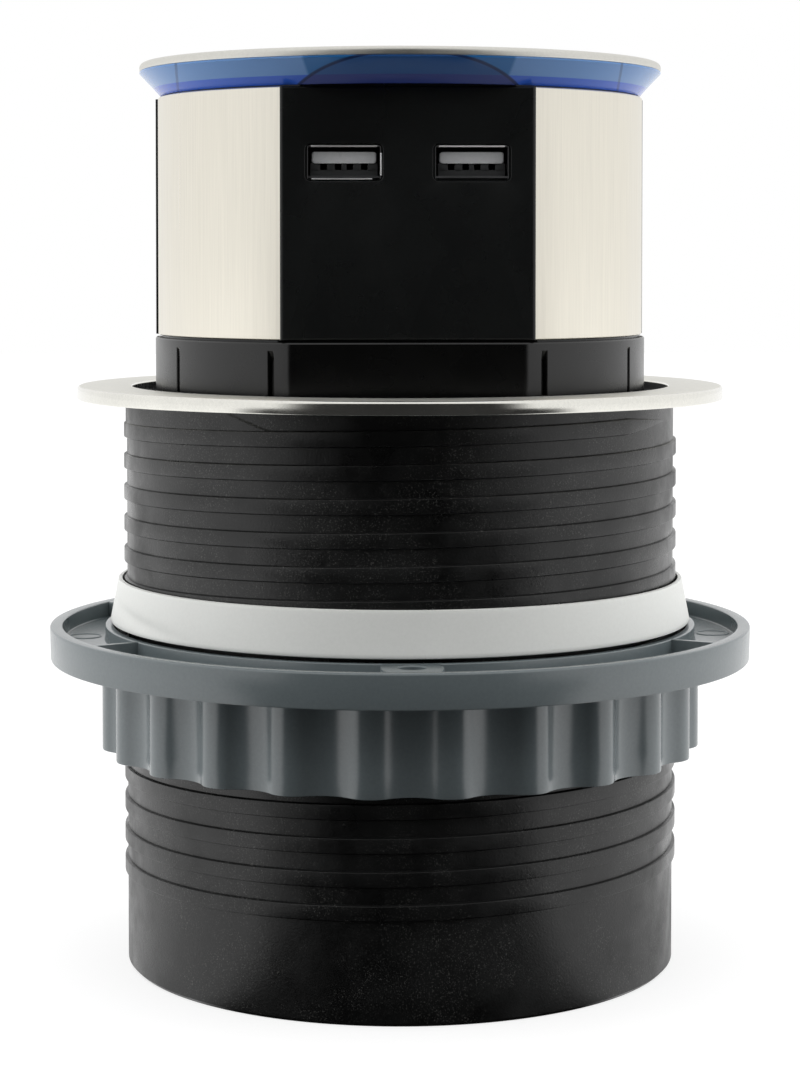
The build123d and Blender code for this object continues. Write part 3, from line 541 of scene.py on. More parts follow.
@shared_group("Ring colour with painted light and shade", [], [("Colour", "Color")])
def lens_group(group, _, result):
    """Blue of the light ring at a point, with painted light and shade: lighter above as painted light, deeper
    below, and dark before each flat of the crown as painted shade.

    A flat shows where the crown's cone, at that height, would reach beyond the flat's plane. This arch is
    painted shade where the crown's dark flat lies behind the ring, the blue beside it is painted darker too,
    and its edge is a painted dark line. Two upright joints in front, and one behind half-way between two
    flats, are dark lines too.
    """
    s, c = sizes(), colours()
    low, high, face = RING[0][2], RING[1][2], s.face_distance
    band_edge, band_soft, cone_top = low + 1.5, 0.08, face + 0.35
    arch_soft, line_in, line_out = 0.05, 0.09, 0.27
    joint_x, joint_offset, joint_soft, joint_wide, joint_cos = 0.0392, 0.0012, 0.00016, 0.00034, 0.508
    # line is the dark colour both of the painted line along each arch's edge and of the ring's own joints.
    line, line_share, joint_share, sector_angles = (0.008, 0.016, 0.075), 0.85, 0.5, (22.5, 21.5)

    def step(value, start, stop):
        return ranged(group, value, start, stop, kind="SMOOTHSTEP")

    def combined(operation, a, b=None):
        return calculated(group, operation, a, b)

    place = source(group, "TexCoord", "Object")
    x, y, z = add_node(group, "SeparateXYZ", place).outputs
    unit = vector(group, "NORMALIZE", vector(group, "MULTIPLY", place, (1, 1, 0)))
    flats = [tuple(turned(np.array([1, 0, 0]), flat)) for flat in FLATS]
    towards = [vector(group, "DOT_PRODUCT", unit, flat, "Value") for flat in flats]
    nearest = combined("MAXIMUM", combined("MAXIMUM", towards[0], towards[1]), towards[2])
    beyond = combined("MULTIPLY", ranged(group, z, low * MM, high * MM, s.crown_r, cone_top), nearest)
    # Painted light: the band above the bevel is a lighter blue.
    upper = step(z, (band_edge - band_soft) * MM, (band_edge + band_soft) * MM)
    # Painted shade: the arch where the crown's dark flat lies behind the ring.
    arch = step(beyond, face - arch_soft, face + arch_soft)
    # Painted shade beside each arch, within about 22 degrees of its flat.
    sector = step(nearest, *(math.cos(math.radians(angle)) for angle in sector_angles))
    # A painted dark line along the arch's edge.
    edge = combined("MINIMUM", step(beyond, face - line_out, face - line_in),
                    step(beyond, face + line_out, face + line_in))
    # The joints are dark lines of the ring itself.
    aside = combined("ABSOLUTE", combined("ADD", x, joint_offset))
    from_joint = combined("ABSOLUTE", combined("SUBTRACT", aside, joint_x))
    before = combined("MULTIPLY", step(from_joint, joint_wide, joint_soft), step(y, -0.004, -0.006))
    behind = combined("MULTIPLY", step(nearest, joint_cos + 0.003, joint_cos - 0.003), step(y, 0.0, 0.002))
    joint = combined("MULTIPLY", combined("MAXIMUM", before, behind), joint_share)
    # The painted arch edge and the real joints share one dark colour.
    faint = combined("MULTIPLY", combined("MAXIMUM", edge, joint), line_share)
    # Painted light and shade over the crown's cone, and painted shade over a flat.
    cone_painted_light_and_shade = mixed(group, upper, c.lens_low, mixed(group, sector, c.lens, c.beside))
    flat_painted_shade = mixed(group, upper, c.arch_low, c.arch)
    feed(group, mixed(group, faint, mixed(group, arch, cone_painted_light_and_shade, flat_painted_shade), line), result["Colour"])


def lens_painted_light_and_shade(tree, plain):
    """The ring's blues, with painted light and shade, in place of the plain colour."""
    return placed(tree, lens_group)["Colour"]


def lens_plastic():
    return finish("Blue lens", colours().lens, 0.12, transmission=0.12, specular=0.22, rough_spread=0.02,
                  painted=lens_painted_light_and_shade)


def shaded_shell_metal():
    # Painted shade: the port shells get a darker metal than the bright metal of the other parts.
    return finish("Shell metal with painted shade", (0.30, 0.30, 0.31), 0.35, metallic=1.0, shade=0.08)


def bright_metal():
    return finish("Bright metal", (0.72, 0.72, 0.73), 0.2, metallic=1.0, shade=0.05)


def glint_strip_metal():
    # Painted glint: a bright rough metal for the thin strips at the ports' openings.
    return finish("Strip metal with painted glint", (0.93, 0.93, 0.92), 0.55, metallic=1.0, shade=0.06)


def brass():
    return finish("Brass", (0.72, 0.53, 0.22), 0.28, metallic=1.0, shade=0.08)


def circuit_board():
    return finish("Circuit board", (0.02, 0.13, 0.05), 0.35, shade=0.15)


def white_plastic():
    return finish("White plastic", (0.62, 0.63, 0.64), 0.32, shade=0.04)


def rubber():
    return finish("Black rubber", (0.012, 0.012, 0.012), 0.7, shade=0.2, bump=0.2, specular=0.3)


# Operators


class PieceOperator(bpy.types.Operator):
    """Shared options of the operators that build a piece."""

    bl_options = {"REGISTER", "UNDO"}


class SOCKETUNIT_OT_tube(PieceOperator):
    """Threaded sleeve: a plain wall with its inner lip, and the ridge that climbs round it"""

    bl_idname = "socket_unit.tube"
    bl_label = "Threaded tube"

    def execute(self, context):
        s = sizes()
        self.wall(s)
        self.ridge(s)
        return {"FINISHED"}

    def wall(self, s):
        """An outline turned about the axis, with two zones of its own.

        In the lip's zone the radius is a circle cut by three flats. In the swelling's zone it grows a little
        to the left of the front, below a slanting line.
        """
        plain, flats, swelling = range(3)
        bevel, lip_gap, neck_slack, middle_z = 0.6, 0.3, 0.05, 20.0
        swell, swell_end, swell_drop, slant, run_in = 0.24, -28, 3.5, 0.3, 40
        under_trim, rim, top = TRIM[0][2], TRIM[1][2] - s.trim_sheet, TUBE[1][2]
        neck_r, lip_low = s.trim_bore_r + neck_slack, SKIRT[0][2] + lip_gap
        lip_high = lip_low + s.lip_height
        swollen = [(s.tube_r, z, swelling) for z in np.linspace(under_trim - 6, under_trim - 0.2, 40)]
        outline = np.array([
            (s.bore_r, 0, plain), (s.tube_r - bevel, 0, plain), (s.tube_r, bevel, plain),
            (s.tube_r, middle_z, plain), (s.tube_r, under_trim - 6, plain), *swollen,
            (s.tube_r, under_trim, plain), (s.tube_r, rim, plain),
            (neck_r, rim, plain), (neck_r, top, plain), (s.bore_r, top, plain), (s.bore_r, lip_high, plain),
            (s.bore_r, lip_high, flats), (s.bore_r, lip_low, flats), (s.bore_r, lip_low, plain)])
        distance, height, zone = outline.T
        angle = round_about(540)
        across = across_front(angle)
        radius = np.where(zone == flats, flatted(s.lip_r, s.lip_flat, angle)[:, None], distance)
        below = height < under_trim - swell_drop + (swell_end - across) * slant
        inside = (zone == swelling) & (across < swell_end) & below
        radius = radius + np.where(inside, swell * np.clip((across + 180) / run_in, 0, 1), 0)
        build("tube_wall", "housing", [swept(radius, angle, height)], tube_plastic(),
              ("housing_tube",), sharp=30)

    def ridge(self, s):
        """The helical ridge: a rounded trapezoid whose middle climbs by the pitch in each turn.

        Near both ends its height and width are multiplied by a share that falls towards the end.
        """
        foot, slant, sunk, soft = s.ridge_width / 2, 0.22, -0.35, 0.14
        start, run_in, run_out, thinnest, narrowest, rows = 170.0, 0.16, 0.05, 0.02, 0.15, 240
        crest = foot - slant
        corners = [(sunk, -foot), (0, -foot), (s.thread_height, -crest), (s.thread_height, crest), (0, foot),
                   (sunk, foot)]
        out, up = rounded(corners, [0, 0, soft, soft, 0, 0], steps=4).T
        turns = np.linspace(0, s.thread_turns, int(s.thread_turns * rows))
        angle = np.radians(FRONT - start) + TURN * turns
        turns = turns[:, None]
        middle = s.thread_bottom + s.pitch * (turns + (90 - start) / 360)
        fade = np.clip(np.minimum(turns / run_in, (s.thread_turns - turns) / run_out), thinnest, 1)
        radius = s.tube_r + np.where(out > 0, out * fade, out)
        ridge = swept(radius, angle, middle + up * np.maximum(fade, narrowest), closed=False)
        build("tube_thread", "housing", [ridge], tube_plastic(), sharp=40)


class SOCKETUNIT_OT_trim(PieceOperator):
    """Trim ring: a flat steel ring with a rounded outer edge"""

    bl_idname = "socket_unit.trim"
    bl_label = "Trim ring"

    def execute(self, context):
        s = sizes()
        low, high, r = TRIM[0][2], TRIM[1][2], TRIM[1][0]
        step = high - s.trim_sheet
        corners = [(s.rebate_r, low), (r, low), (r, high), (s.trim_bore_r, high), (s.trim_bore_r, step),
                   (s.rebate_r, step)]
        outline = rounded(corners, [0, 0.2, 0.6, 0.3, 0, 0], steps=7)
        build("trim_ring_steel", "housing", [revolve(outline)], brushed_ring(),
              ("trim_ring",))
        return {"FINISHED"}


class SOCKETUNIT_OT_seal(PieceOperator):
    """White band above the nut: it narrows evenly upwards, and has a soft crease at the lower left"""

    bl_idname = "socket_unit.seal"
    bl_label = "Seal band"

    def execute(self, context):
        s = sizes()
        bore, r, top_r = s.nut_bore_r, SEAL[1][0], SEAL[1][0] - s.seal_taper
        low, high = SEAL[0][2] - s.seal_hang, SEAL[1][2]
        foot = [(bore + 0.9, low + 0.1), (bore + 1.0, low), (r - 0.45, low), (r - 0.1, low + 0.15)]
        side = [(r - s.seal_taper * u, low + 0.45 + (high - low - 0.8) * u) for u in np.linspace(0, 1, 16)]
        head = [(top_r - 0.1, high - 0.1), (top_r - 0.35, high), (bore + 0.1, high), (bore, high - 0.15),
                (bore, high - 2)]
        distance, height = np.array(foot + side + head).T
        angle = round_about(420)
        crease = self.crease(angle, (height - low) / (high - low))
        radius = distance - np.where(distance > bore + 0.85, crease, 0)
        build("seal_band", "seal", [swept(radius, angle, height)], seal_rubber(),
              ("seal_ring",))
        return {"FINISHED"}

    def crease(self, angle, share):
        """Depth of a dent: a bell across, times a bell up the band whose middle falls to the right."""
        depth, place, width, middle, tall, lean = 0.32, -62, 14, 0.30, 0.14, 80
        beside = across_front(angle) - place
        return depth * np.exp(-(beside / width) ** 2 - ((share - middle + beside / lean) / tall) ** 2)


class SOCKETUNIT_OT_nut(PieceOperator):
    """Clamp nut: fluted skirt, flange with an open pocket, screw bosses and ribs"""

    bl_idname = "socket_unit.nut"
    bl_label = "Clamp nut"

    def execute(self, context):
        s = sizes()
        sunk = 0.5
        levels = NUT[1][2] - s.pocket_depth - sunk, NUT[1][2] - s.pocket_fill
        surfaces = [self.body(s), *self.bosses(s, *levels), *self.ribs(s, *levels), *self.marks(s)]
        build("clamp_nut_body", "nut", surfaces, nut_plastic(), ("clamp_nut",), sharp=40)
        return {"FINISHED"}

    def flutes(self, s, angle):
        """Skirt radius: a hollow arc about each valley, then smoothly a round arc about each crest.

        With d the distance from the nearest valley and h half a flute's width, both arcs reach the slope
        2 atan(depth / h) where they meet.
        """
        step = TURN / s.flute_count
        depth = s.flute_crest_r - s.flute_valley_r
        half = step / 2 * (s.flute_crest_r + s.flute_valley_r) / 2
        slope = 2 * math.atan2(depth, half)
        hollow_r, round_r = s.flute_turn / math.sin(slope), (half - s.flute_turn) / math.sin(slope)
        phase = (angle - np.radians(FRONT) + step / 2) % step - step / 2
        d = np.abs(phase) / (step / 2) * half
        from_valley, from_crest = np.minimum(d, s.flute_turn), np.minimum(half - d, half - s.flute_turn)
        hollow = s.flute_valley_r + hollow_r - np.sqrt(hollow_r**2 - from_valley**2)
        crest = s.flute_crest_r - round_r + np.sqrt(round_r**2 - from_crest**2)
        return np.where(d < s.flute_turn, hollow, crest)

    def body(self, s):
        """A turned section: its outer part (inset, height) follows the flutes, and the rest is round."""
        low, high, r = NUT[0][2], NUT[1][2], s.flange_r
        web, floor, step = high - s.flange_height, high - s.pocket_depth, high - 3.5
        inset, skirt_z = np.array([
            (0.35, low), (0.1, low + 0.1), (0, low + 0.35), (0, low + 4), (0, web - 0.8), (-0.25, web - 0.25),
            (-0.8, web)]).T
        corners = [(r - 0.15, web), (r, high), (s.rim_bore_r, high), (s.rim_bore_r, floor), (s.hub_r, floor),
                   (s.hub_r, high), (s.hub_bore_r, high), (s.hub_bore_r, step), (s.nut_bore_r, step),
                   (s.nut_bore_r, low)]
        round_r, round_z = rounded(corners, [0.45, 0.35, 0.2, 0.3, 0.3, 0.2, 0.2, 0, 0, 0.2], steps=4).T
        angle = round_about(s.flute_count * 36)
        skirt_r = self.flutes(s, angle)[:, None] - inset
        radius = np.concatenate([skirt_r, np.tile(round_r, (len(angle), 1))], axis=1)
        return swept(radius, angle, np.concatenate([skirt_z, round_z]))

    def bosses(self, s, low, high):
        """A pad cut off by rim and hub: an ellipse about a round hole, its x held between the two walls."""
        middle, stretch, soft, drawn_x, drawn_y = 58.3, 1.6, 0.25, 0.998, 0.97
        hub_sunk, rim_sunk = 0.4, 0.5
        turn = round_about(72)
        c, n = np.cos(turn), np.sin(turn)
        x = np.clip(middle + stretch * s.boss_r * c, s.hub_r - hub_sunk, s.flange_r - rim_sunk)
        y = s.boss_r * n
        hole, lip = ((middle + r * c, r * n) for r in (s.boss_hole_r, s.boss_hole_r + soft))
        pad = stacked([(*hole, low), (x, y, low), (x, y, high - soft),
                       (x * drawn_x + (1 - drawn_x) * middle, y * drawn_y, high), (*lip, high),
                       (*hole, high - soft)])
        return [loft(turned(pad, flat)) for flat in FLATS]

    def marks(self, s):
        """Ejector marks: a fine raised circle on the pocket's floor at each side."""
        mark_r, wire_r = 3.0, 0.14
        around = round_about(8)
        height = NUT[1][2] - s.pocket_depth + wire_r * np.sin(around)
        ring = polar(mark_r + wire_r * np.cos(around), round_about(48)[:, None], height)
        return [loft(ring + (side * (s.hub_r + s.rim_bore_r) / 2, 0, 0)) for side in (1, -1)]

    def ribs(self, s, low, high):
        """Thin radial walls across the pocket."""
        middle, length = (s.hub_r + s.rim_bore_r) / 2, s.rim_bore_r - s.hub_r + 0.6
        points, faces = block(rounded_rectangle(length, s.rib_width, 0.1, (middle, 0)), low, high, 0.12)
        return [(turned(points, arc), faces) for arc in ARCS.values()]


class SOCKETUNIT_OT_cap(PieceOperator):
    """Steel cap plate with a rounded rim"""

    bl_idname = "socket_unit.cap"
    bl_label = "Cap plate"

    def execute(self, context):
        low, high, r = CAP[0][2] - sizes().cap_drop, CAP[1][2], sizes().cap_r
        shares = (0.02, 0.3, 0.6, 0.9)
        rim = rounded([(0, low), (r, low), (r, high), (0, high)], [0, 0.25, 0.8, 0], steps=7)[1:-1]
        under, over = ([(r * k, z) for k in shares] for z in (low, high))
        outline = np.array(under + rim.tolist() + over[::-1])
        build("cap_steel", "tower", [round_plate(outline)], brushed_cap(), ("cap_plate",))
        return {"FINISHED"}


class SOCKETUNIT_OT_light(PieceOperator):
    """Blue light ring, bevelled below and hollow in a cone behind"""

    bl_idname = "socket_unit.light"
    bl_label = "Light ring"

    def execute(self, context):
        s = sizes()
        low, high, r, foot = RING[0][2], RING[1][2] - s.cap_drop, s.cap_r, s.crown_r
        top = s.face_distance + 0.15
        corners = [(foot + 0.15, low), (foot + 0.4, low), (foot + 1.75, low + 1.5), (r, high - 0.3),
                   (r, high), (top, high), (top, high - 0.4)]
        outline = rounded(corners, [0.02, 0.1, 0.6, 0.1, 0.1, 0, 0])
        build("light_ring_lens", "tower", [revolve(outline)], lens_plastic(), ("light_ring",))
        return {"FINISHED"}


class SOCKETUNIT_OT_panels(PieceOperator):
    """Curved steel panels: a thin rounded section swept round the tower"""

    bl_idname = "socket_unit.panels"
    bl_label = "Steel panels"

    def execute(self, context):
        s = sizes()
        low, high = PANEL[0][2], PANEL[1][2]
        inner, outer = s.panel_r - 0.8, s.panel_r
        corners = [(inner, low), (outer, low), (outer, high), (inner, high)]
        distance, height = rounded(corners, [0.05, 0.35, 0.35, 0.05]).T
        for side, arc in ARCS.items():
            angle = np.radians(np.linspace(arc - s.panel_half, arc + s.panel_half, 90))
            panel = swept(distance, angle, height, closed=False)
            build(f"panel_{side}", "tower", [panel], brushed_panel(),
                  (f"steel_panel_{side}",))
        return {"FINISHED"}


class SOCKETUNIT_OT_skirt(PieceOperator):
    """Black skirt below the panels, with its upright grooves"""

    bl_idname = "socket_unit.skirt"
    bl_label = "Tower skirt"

    def execute(self, context):
        """Outside, radius = round with flats - groove's depth; the groove's edges are ramps across."""
        s = sizes()
        low, high = SKIRT[0][2], SKIRT[1][2]
        margin, ramp, wall, hole_r = 0.03, 0.25, 2.5, 24.0
        grooves = np.radians([-152.7, -121.3, -58.7, -27.3, 74.3, 105.7])
        fine = [np.linspace(g - margin, g + margin, 25) for g in grooves]
        angle = np.unique(np.concatenate([np.linspace(-np.pi, np.pi, 540, endpoint=False), *fine]).round(6))
        across = np.stack([(angle - g + np.pi) % TURN - np.pi for g in grooves]) * s.skirt_r
        cut = np.clip((s.groove_width / 2 - np.abs(across)) / ramp + 0.5, 0, 1).max(axis=0)[:, None]
        levels, share, inset = np.array([
            (low, 1, 0), (high - 3.2, 1, 0), (high - 1.4, 0, 0), (high - 0.25, 0, 0), (high, 0, 0.2)]).T
        outer = flatted(s.skirt_r, s.skirt_flat, angle)[:, None] - cut * share * s.groove_depth - inset
        inner = flatted(s.skirt_r - wall, s.skirt_flat - wall, angle)
        hole = np.full_like(angle, hole_r)
        radius = np.concatenate([outer, np.stack([hole, hole, inner, inner], axis=1)], axis=1)
        height = np.concatenate([levels, [high, high - 2, high - 2, low]])
        build("skirt_moulding", "tower", [swept(radius, angle, height)], skirt_plastic_painted_shade(),
              ("tower_skirt",), sharp=25)
        return {"FINISHED"}


class SOCKETUNIT_OT_faces(PieceOperator):
    """Flat faces with rounded edges out to the tower's corners: two round wells, and the two port openings"""

    bl_idname = "socket_unit.faces"
    bl_label = "Faces"

    def execute(self, context):
        s = sizes()
        low, high = PANEL[0][2], PANEL[1][2]
        middle, half_height, corner_along = (low + high) / 2, (high - low) / 2, 21.87
        half_angle = math.atan2(corner_along, s.face_distance)
        half_width, front = s.corner_r * math.sin(half_angle), s.corner_r * math.cos(half_angle)
        well = polar(s.well_r, round_about(72), 0)[:, :2]
        for side, angle in SOCKETS.items():
            plate = self.plate(s, well, (0, 0), (-half_width, half_width), half_height, front, 0.5)
            build(f"socket_plate_{side}", "tower", [stand_up(plate, angle, 0, middle)],
                  black_plastic(), (f"socket_face_{side}",), sharp=50)
        port, height = self.port_outline(), PORT_Z - middle
        halves = [self.plate(s, port, (-s.port_x, height), (-half_width, 0), half_height, front, 0.12),
                  self.plate(s, port, (s.port_x, height), (0, half_width), half_height, front, 0.12)]
        build("port_plate", "tower", [stand_up(half, FRONT, 0, middle) for half in halves],
              black_plastic(), ("usb_face",), sharp=50)
        return {"FINISHED"}

    def port_outline(self):
        """The opening's rounded rectangle with points along its sides, each point once."""
        port = rounded_rectangle(13.4, 6.5, 0.9)
        share = np.linspace(0, 1, 12, endpoint=False)[:, None]
        port = np.concatenate([a + (b - a) * share for a, b in zip(port, np.roll(port, -1, axis=0))])
        return np.array([p for k, p in enumerate(port) if k == 0 or np.linalg.norm(p - port[k - 1]) > 1e-6])

    def plate(self, s, hole, centre, width, half_height, front, soft):
        """Rays from the hole's middle: each runs up the hole's wall, over the front and down to the back."""
        cx, cy = centre
        left, right = width[0] - cx, width[1] - cx
        low, high = -half_height - cy, half_height - cy
        corners = [math.atan2(y, x) % TURN for x in (left, right) for y in (low, high)]
        turn = np.unique(np.concatenate([round_about(180), corners]).round(7))
        c, n = np.cos(turn), np.sin(turn)
        reach = 1 / np.maximum(np.maximum(c / right, c / left), np.maximum(n / high, n / low))
        x, y = cx + reach * c, cy + reach * n
        bearing = np.unwrap(np.arctan2(hole[:, 1], hole[:, 0]))
        distance = np.hypot(*hole.T)
        bearing, distance = np.append(bearing, bearing[0] + TURN), np.append(distance, distance[0])
        inner = np.interp((turn - bearing[0]) % TURN + bearing[0], bearing, distance)
        back = s.face_distance - 2.2
        edge, edge_inset, edge_drop = np.max(np.abs(width)), 1.0, 0.4
        rows = [(cx + inner * c, cy + inner * n, back)]
        for t in np.linspace(0, np.pi / 2, 4):
            ring = inner + soft * (1 - np.cos(t))
            rows.append((cx + ring * c, cy + ring * n, front - soft * (1 - np.sin(t))))
        for t in np.linspace(0, np.pi / 2, 5):
            inset = edge_inset * (1 - np.sin(t))
            side, end = edge - inset, half_height - inset * edge_drop
            rows.append((np.clip(x, -side, side), np.clip(y, -end, end), front - edge_drop * (1 - np.cos(t))))
        rows.append((x * back / front, y, back))
        return loft(stacked(rows))


class SOCKETUNIT_OT_ports(PieceOperator):
    """Charging ports: a faint frame, a black bezel over each shell, bright strips at its lips as painted
    glints, and the white tongue
    """

    bl_idname = "socket_unit.ports"
    bl_label = "Charging ports"

    def execute(self, context):
        s = sizes()
        tongue_back, tongue_front = 27.7, s.face_distance - 1.2
        frames, bezels, lips, combs = [], [], [], []
        for side, x in (("left", -s.port_x), ("right", s.port_x)):
            frames.append(self.ring(s, x, (13.38, 6.48, 0.9), (14.1, 7.2, 1.3), -0.3, 0.22))
            bezels.append(self.ring(s, x, (12.4, 5.95, 0.35), (13.3, 6.4, 0.85), -0.6, -0.12))
            # Painted glints: bright strips along the top of each opening, and at the right side and bottom of
            # the left one only.
            lips.append(self.flat_lip(s, (x, 2.8), 11.4, 0.28))
            if side == "left":
                lips += [self.side_lip(s, (x + 6.4, -0.3)), self.flat_lip(s, (x - 0.4, -2.82), 10.4, 0.24)]
            combs += self.comb(s, x)
            tongue = block(rounded_rectangle(11.1, 2.0, 0.45, (x, 0)), tongue_back, tongue_front, 0.25)
            build(f"port_tongue_{side}", "tower", [stand_up(tongue, FRONT, 0, TONGUE_Z)],
                  white_plastic(), (f"usb_tongue_{side}",))
        build("port_frames", "tower", frames, black_plastic())
        build("port_bezels", "tower", bezels, black_plastic())
        build("port_glint_strips", "tower", lips, glint_strip_metal())
        build("port_combs", "tower", combs, insulator_plastic())
        return {"FINISHED"}

    def ring(self, s, x, inner, outer, back, front):
        """A rectangular ring on the face between two rounded rectangles, softly crowned in front."""
        a, b = rounded_rectangle(*inner), rounded_rectangle(*outer)
        soft = front - 0.08
        rows = [(a, back), (b, back), (b, soft), (b * 0.75 + a * 0.25, front), (b * 0.25 + a * 0.75, front),
                (a, soft)]
        stations = stacked([(*(outline + (x, 0)).T, depth) for outline, depth in rows])
        return stand_up(loft(stations), FRONT, s.face_distance, PORT_Z)

    def flat_lip(self, s, middle, width, rise):
        """A thin rounded strip just inside the upper or lower edge of an opening: a bright metal strip as a
        painted glint.
        """
        strip = block(rounded_rectangle(width, rise, 0.06, middle), -0.6, -0.02, 0.12)
        return stand_up(strip, FRONT, s.face_distance, PORT_Z)

    def side_lip(self, s, middle):
        """An upright half-round strip just inside one side of an opening: half an ellipse on a flat foot, as
        a painted glint.
        """
        half_width, swell, level, foot, half_rise = 0.22, 0.3, -0.32, -0.6, 1.95
        t = np.linspace(0, np.pi, 13)
        across = np.append(-half_width * np.cos(t), (half_width, -half_width)) + middle[0]
        depth = np.append(swell * np.sin(t) + level, (foot, foot))
        rows = [np.stack([across, np.full_like(across, middle[1] + up), depth], axis=-1)
                for up in (-half_rise, half_rise)]
        return stand_up(loft(np.stack(rows), closed=False), FRONT, s.face_distance, PORT_Z)

    def comb(self, s, x):
        """The black block below a tongue: a bar, and the teeth between its four contact notches."""
        back, front, soft, tooth_y, tooth_rise = -4.5, -1.4, 0.08, -1.6, 1.3
        teeth = ((-4.95, 1.7), (-2.25, 1.35), (0.0, 0.85), (2.25, 1.35), (4.95, 1.7))
        bars = [((x + along, tooth_y), width, tooth_rise) for along, width in teeth]
        bars.insert(0, ((x, -3.05), 11.6, 1.9))
        return [stand_up(block(rounded_rectangle(width, rise, soft, middle), back, front, soft), FRONT,
                         s.face_distance, TONGUE_Z) for middle, width, rise in bars]


class SOCKETUNIT_OT_finishes(PieceOperator):
    """Finishes of the CAD pieces that stay as they are"""

    bl_idname = "socket_unit.finishes"
    bl_label = "Finishes"

    def execute(self, context):
        by_slot = {"black_plastic": black_plastic, "bright_metal": bright_metal, "brass": brass,
                   "circuit_board": circuit_board, "white_plastic": white_plastic, "black_rubber": rubber,
                   "brushed_steel": brushed_panel, "grey_plastic": nut_plastic, "white_rubber": seal_rubber,
                   "blue_lens": lens_plastic}
        # The port shells take a darkened metal in place of their slot's finish: painted shade.
        special = {"usb_shell_left": shaded_shell_metal, "usb_shell_right": shaded_shell_metal,
                   "usb_insulators": insulator_plastic}
        slots = {part["node"]: part["material_slot"] for part in frame["record"]["subparts"]}
        for node, thing in frame["nodes"].items():
            material = special.get(node, by_slot[slots[node]])()
            for slot in thing.material_slots:
                slot.material = material
        return {"FINISHED"}


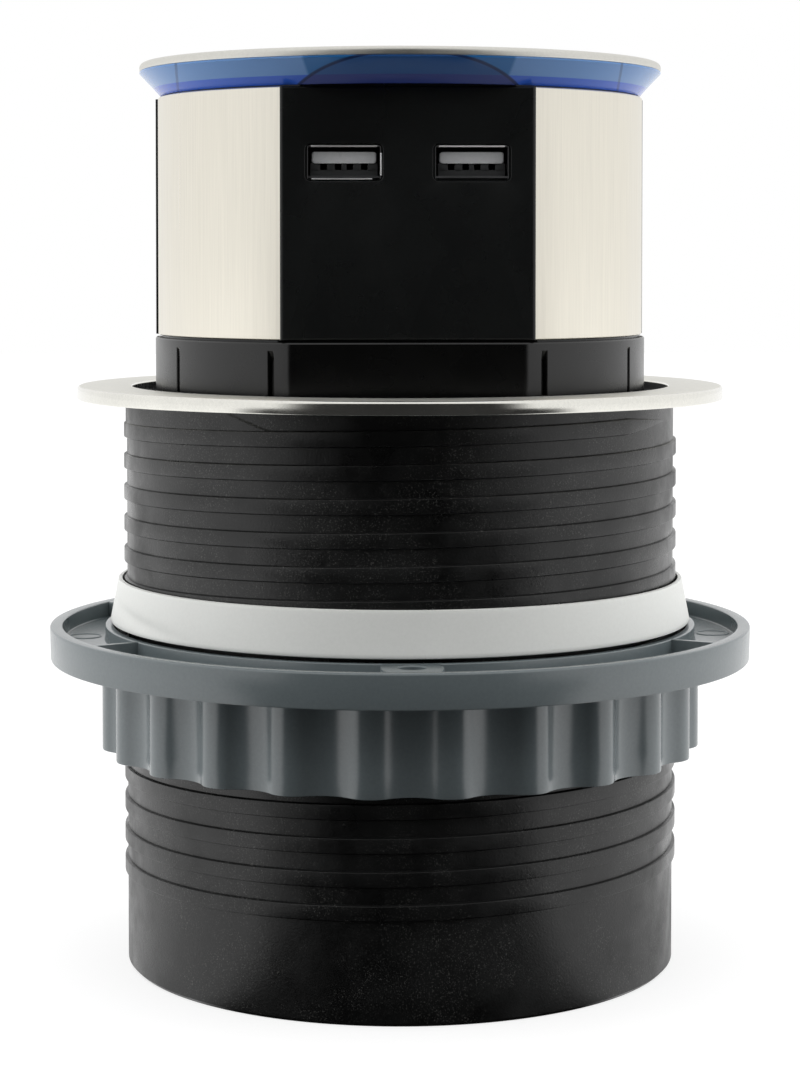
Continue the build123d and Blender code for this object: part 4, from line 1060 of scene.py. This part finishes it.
class SOCKETUNIT_OT_stage(PieceOperator):
    """Pale floor, soft studio light and the camera"""

    bl_idname = "socket_unit.stage"
    bl_label = "Stage"

    def execute(self, context):
        stage = context.scene.socket_unit_stage
        self.floor()
        self.world()
        self.lights(stage)
        self.camera(context, stage)
        context.scene.view_settings.view_transform = "Standard"
        return {"FINISHED"}

    def floor(self):
        """A flat square, white to the camera and pale to light, with the studio's dark front as a patch.

        Across the front, the patch's directions shrink by a factor that goes with the distance from the
        origin. So the patch is a little wider close by and widest from 0.5 to 1.4 m.
        """
        reach, pale, bright, glow_share = 3.0, 0.85, 1.3, 0.55
        mesh = bpy.data.meshes.new("floor")
        mesh.from_pydata([(-reach, -reach, 0), (reach, -reach, 0), (reach, reach, 0), (-reach, reach, 0)], [],
                         [(0, 1, 2, 3)])
        material = bpy.data.materials.new("Pale floor")
        material.use_nodes = True
        tree = material.node_tree
        rays, place = add_node(tree, "LightPath").outputs, source(tree, "TexCoord", "Object")
        away = vector(tree, "LENGTH", place, result="Value")
        near, far = ranged(tree, away, 0.15, 0.5, 0.9, 0.58), ranged(tree, away, 1.4, 1.95, 0.58, 1.0)
        squeeze = add_node(tree, "CombineXYZ", calculated(tree, "MAXIMUM", near, far), 1.0, 1.0).outputs[0]
        level = placed(tree, front_group, Direction=vector(tree, "MULTIPLY", place, squeeze),
                       Seen=rays["Is Camera Ray"])["Level"]
        shader = tree.nodes["Principled BSDF"]
        shader.inputs["Roughness"].default_value = 0.9
        shader.inputs["Specular IOR Level"].default_value = 0.0
        feed(tree, calculated(tree, "MULTIPLY", level, pale), shader.inputs["Base Color"])
        glow = add_node(tree, "Emission", (1, 1, 1), calculated(tree, "MULTIPLY", level, bright))
        seen = calculated(tree, "MAXIMUM", rays["Is Camera Ray"], rays["Is Glossy Ray"])
        seen = calculated(tree, "MAXIMUM", seen, rays["Is Transmission Ray"])
        mix = add_node(tree, "MixShader", calculated(tree, "MULTIPLY", seen, glow_share), shader.outputs[0],
                       glow.outputs[0])
        feed(tree, mix.outputs[0], tree.nodes["Material Output"].inputs["Surface"])
        mesh.materials.append(material)
        floor = add_object("floor", mesh)

    def world(self):
        """A white studio with a soft dark patch in front; the camera sees only white."""
        world = bpy.data.worlds.new("Studio")
        bpy.context.scene.world = world
        world.use_nodes = True
        tree = world.node_tree
        background = tree.nodes["Background"].inputs
        feed(tree, (1, 1, 1), background["Color"])
        level = placed(tree, front_group, Direction=source(tree, "TexCoord", "Generated"),
                       Seen=source(tree, "LightPath", "Is Camera Ray"))["Level"]
        feed(tree, level, background["Strength"])

    def lights(self, stage):
        """A large light above and one at each side, all facing the tower; the world makes the reflections."""
        target = np.array([0.0, 0.0, 0.085])
        spots = (("top", (0.0, -0.15, 0.75), 0.7, stage.key), ("left", (-0.7, 0.05, 0.3), 0.5, stage.side),
                 ("right", (0.7, 0.05, 0.3), 0.5, stage.side))
        for name, place, size, power in spots:
            lamp = bpy.data.lights.new(name, "AREA")
            lamp.shape, lamp.size, lamp.energy = "SQUARE", size, power
            thing = add_object(name, lamp)
            thing.visible_glossy = False
            thing.location = place
            back = np.array(place) - target
            turn = math.atan2(back[1], back[0]) + math.pi / 2
            thing.rotation_euler = (math.acos(back[2] / np.linalg.norm(back)), 0, turn)

    def camera(self, context, stage):
        """A long lens at the photograph's eye height, tilted a little and shifted for the rest."""
        data = bpy.data.cameras.new("camera")
        data.sensor_width, data.lens = 36.0, stage.lens
        data.shift_y = stage.shift
        thing = add_object("camera", data)
        a = math.radians(stage.azimuth)
        thing.location = (stage.distance * math.sin(a), -stage.distance * math.cos(a), stage.eye_height)
        thing.rotation_euler = (math.radians(90 - stage.pitch), 0, a)
        context.scene.camera = thing


class SOCKETUNIT_PT_panel(bpy.types.Panel):
    """Lists the pieces of the socket unit"""

    bl_idname = "SOCKETUNIT_PT_panel"
    bl_label = "Socket unit"
    bl_space_type = "VIEW_3D"
    bl_region_type = "UI"
    bl_category = "Socket unit"

    def draw(self, context):
        for operator in OPERATORS:
            self.layout.operator(operator.bl_idname)
        for place in PLACES:
            group = getattr(context.scene, place)
            box = self.layout.box()
            for name in group.bl_rna.properties.keys():
                if name not in {"rna_type", "name"}:
                    box.prop(group, name)


OPERATORS = (
    SOCKETUNIT_OT_stage, SOCKETUNIT_OT_finishes, SOCKETUNIT_OT_tube, SOCKETUNIT_OT_trim, SOCKETUNIT_OT_seal,
    SOCKETUNIT_OT_nut, SOCKETUNIT_OT_cap, SOCKETUNIT_OT_light, SOCKETUNIT_OT_panels, SOCKETUNIT_OT_skirt,
    SOCKETUNIT_OT_faces, SOCKETUNIT_OT_ports,
)
PLACES = {"socket_unit_sizes": SocketUnitSizes, "socket_unit_colours": SocketUnitColours,
          "socket_unit_stage": SocketUnitStage}
CLASSES = (*PLACES.values(), *OPERATORS, SOCKETUNIT_PT_panel)


def register():
    for cls in CLASSES:
        bpy.utils.register_class(cls)
    for place, group in PLACES.items():
        setattr(bpy.types.Scene, place, bpy.props.PointerProperty(type=group))


def unregister():
    for place in PLACES:
        delattr(bpy.types.Scene, place)
    for cls in reversed(CLASSES):
        bpy.utils.unregister_class(cls)


def main():
    register()
    for operator in OPERATORS:
        group, name = operator.bl_idname.split(".")
        getattr(getattr(bpy.ops, group), name)()


if __name__ == "__main__":
    main()
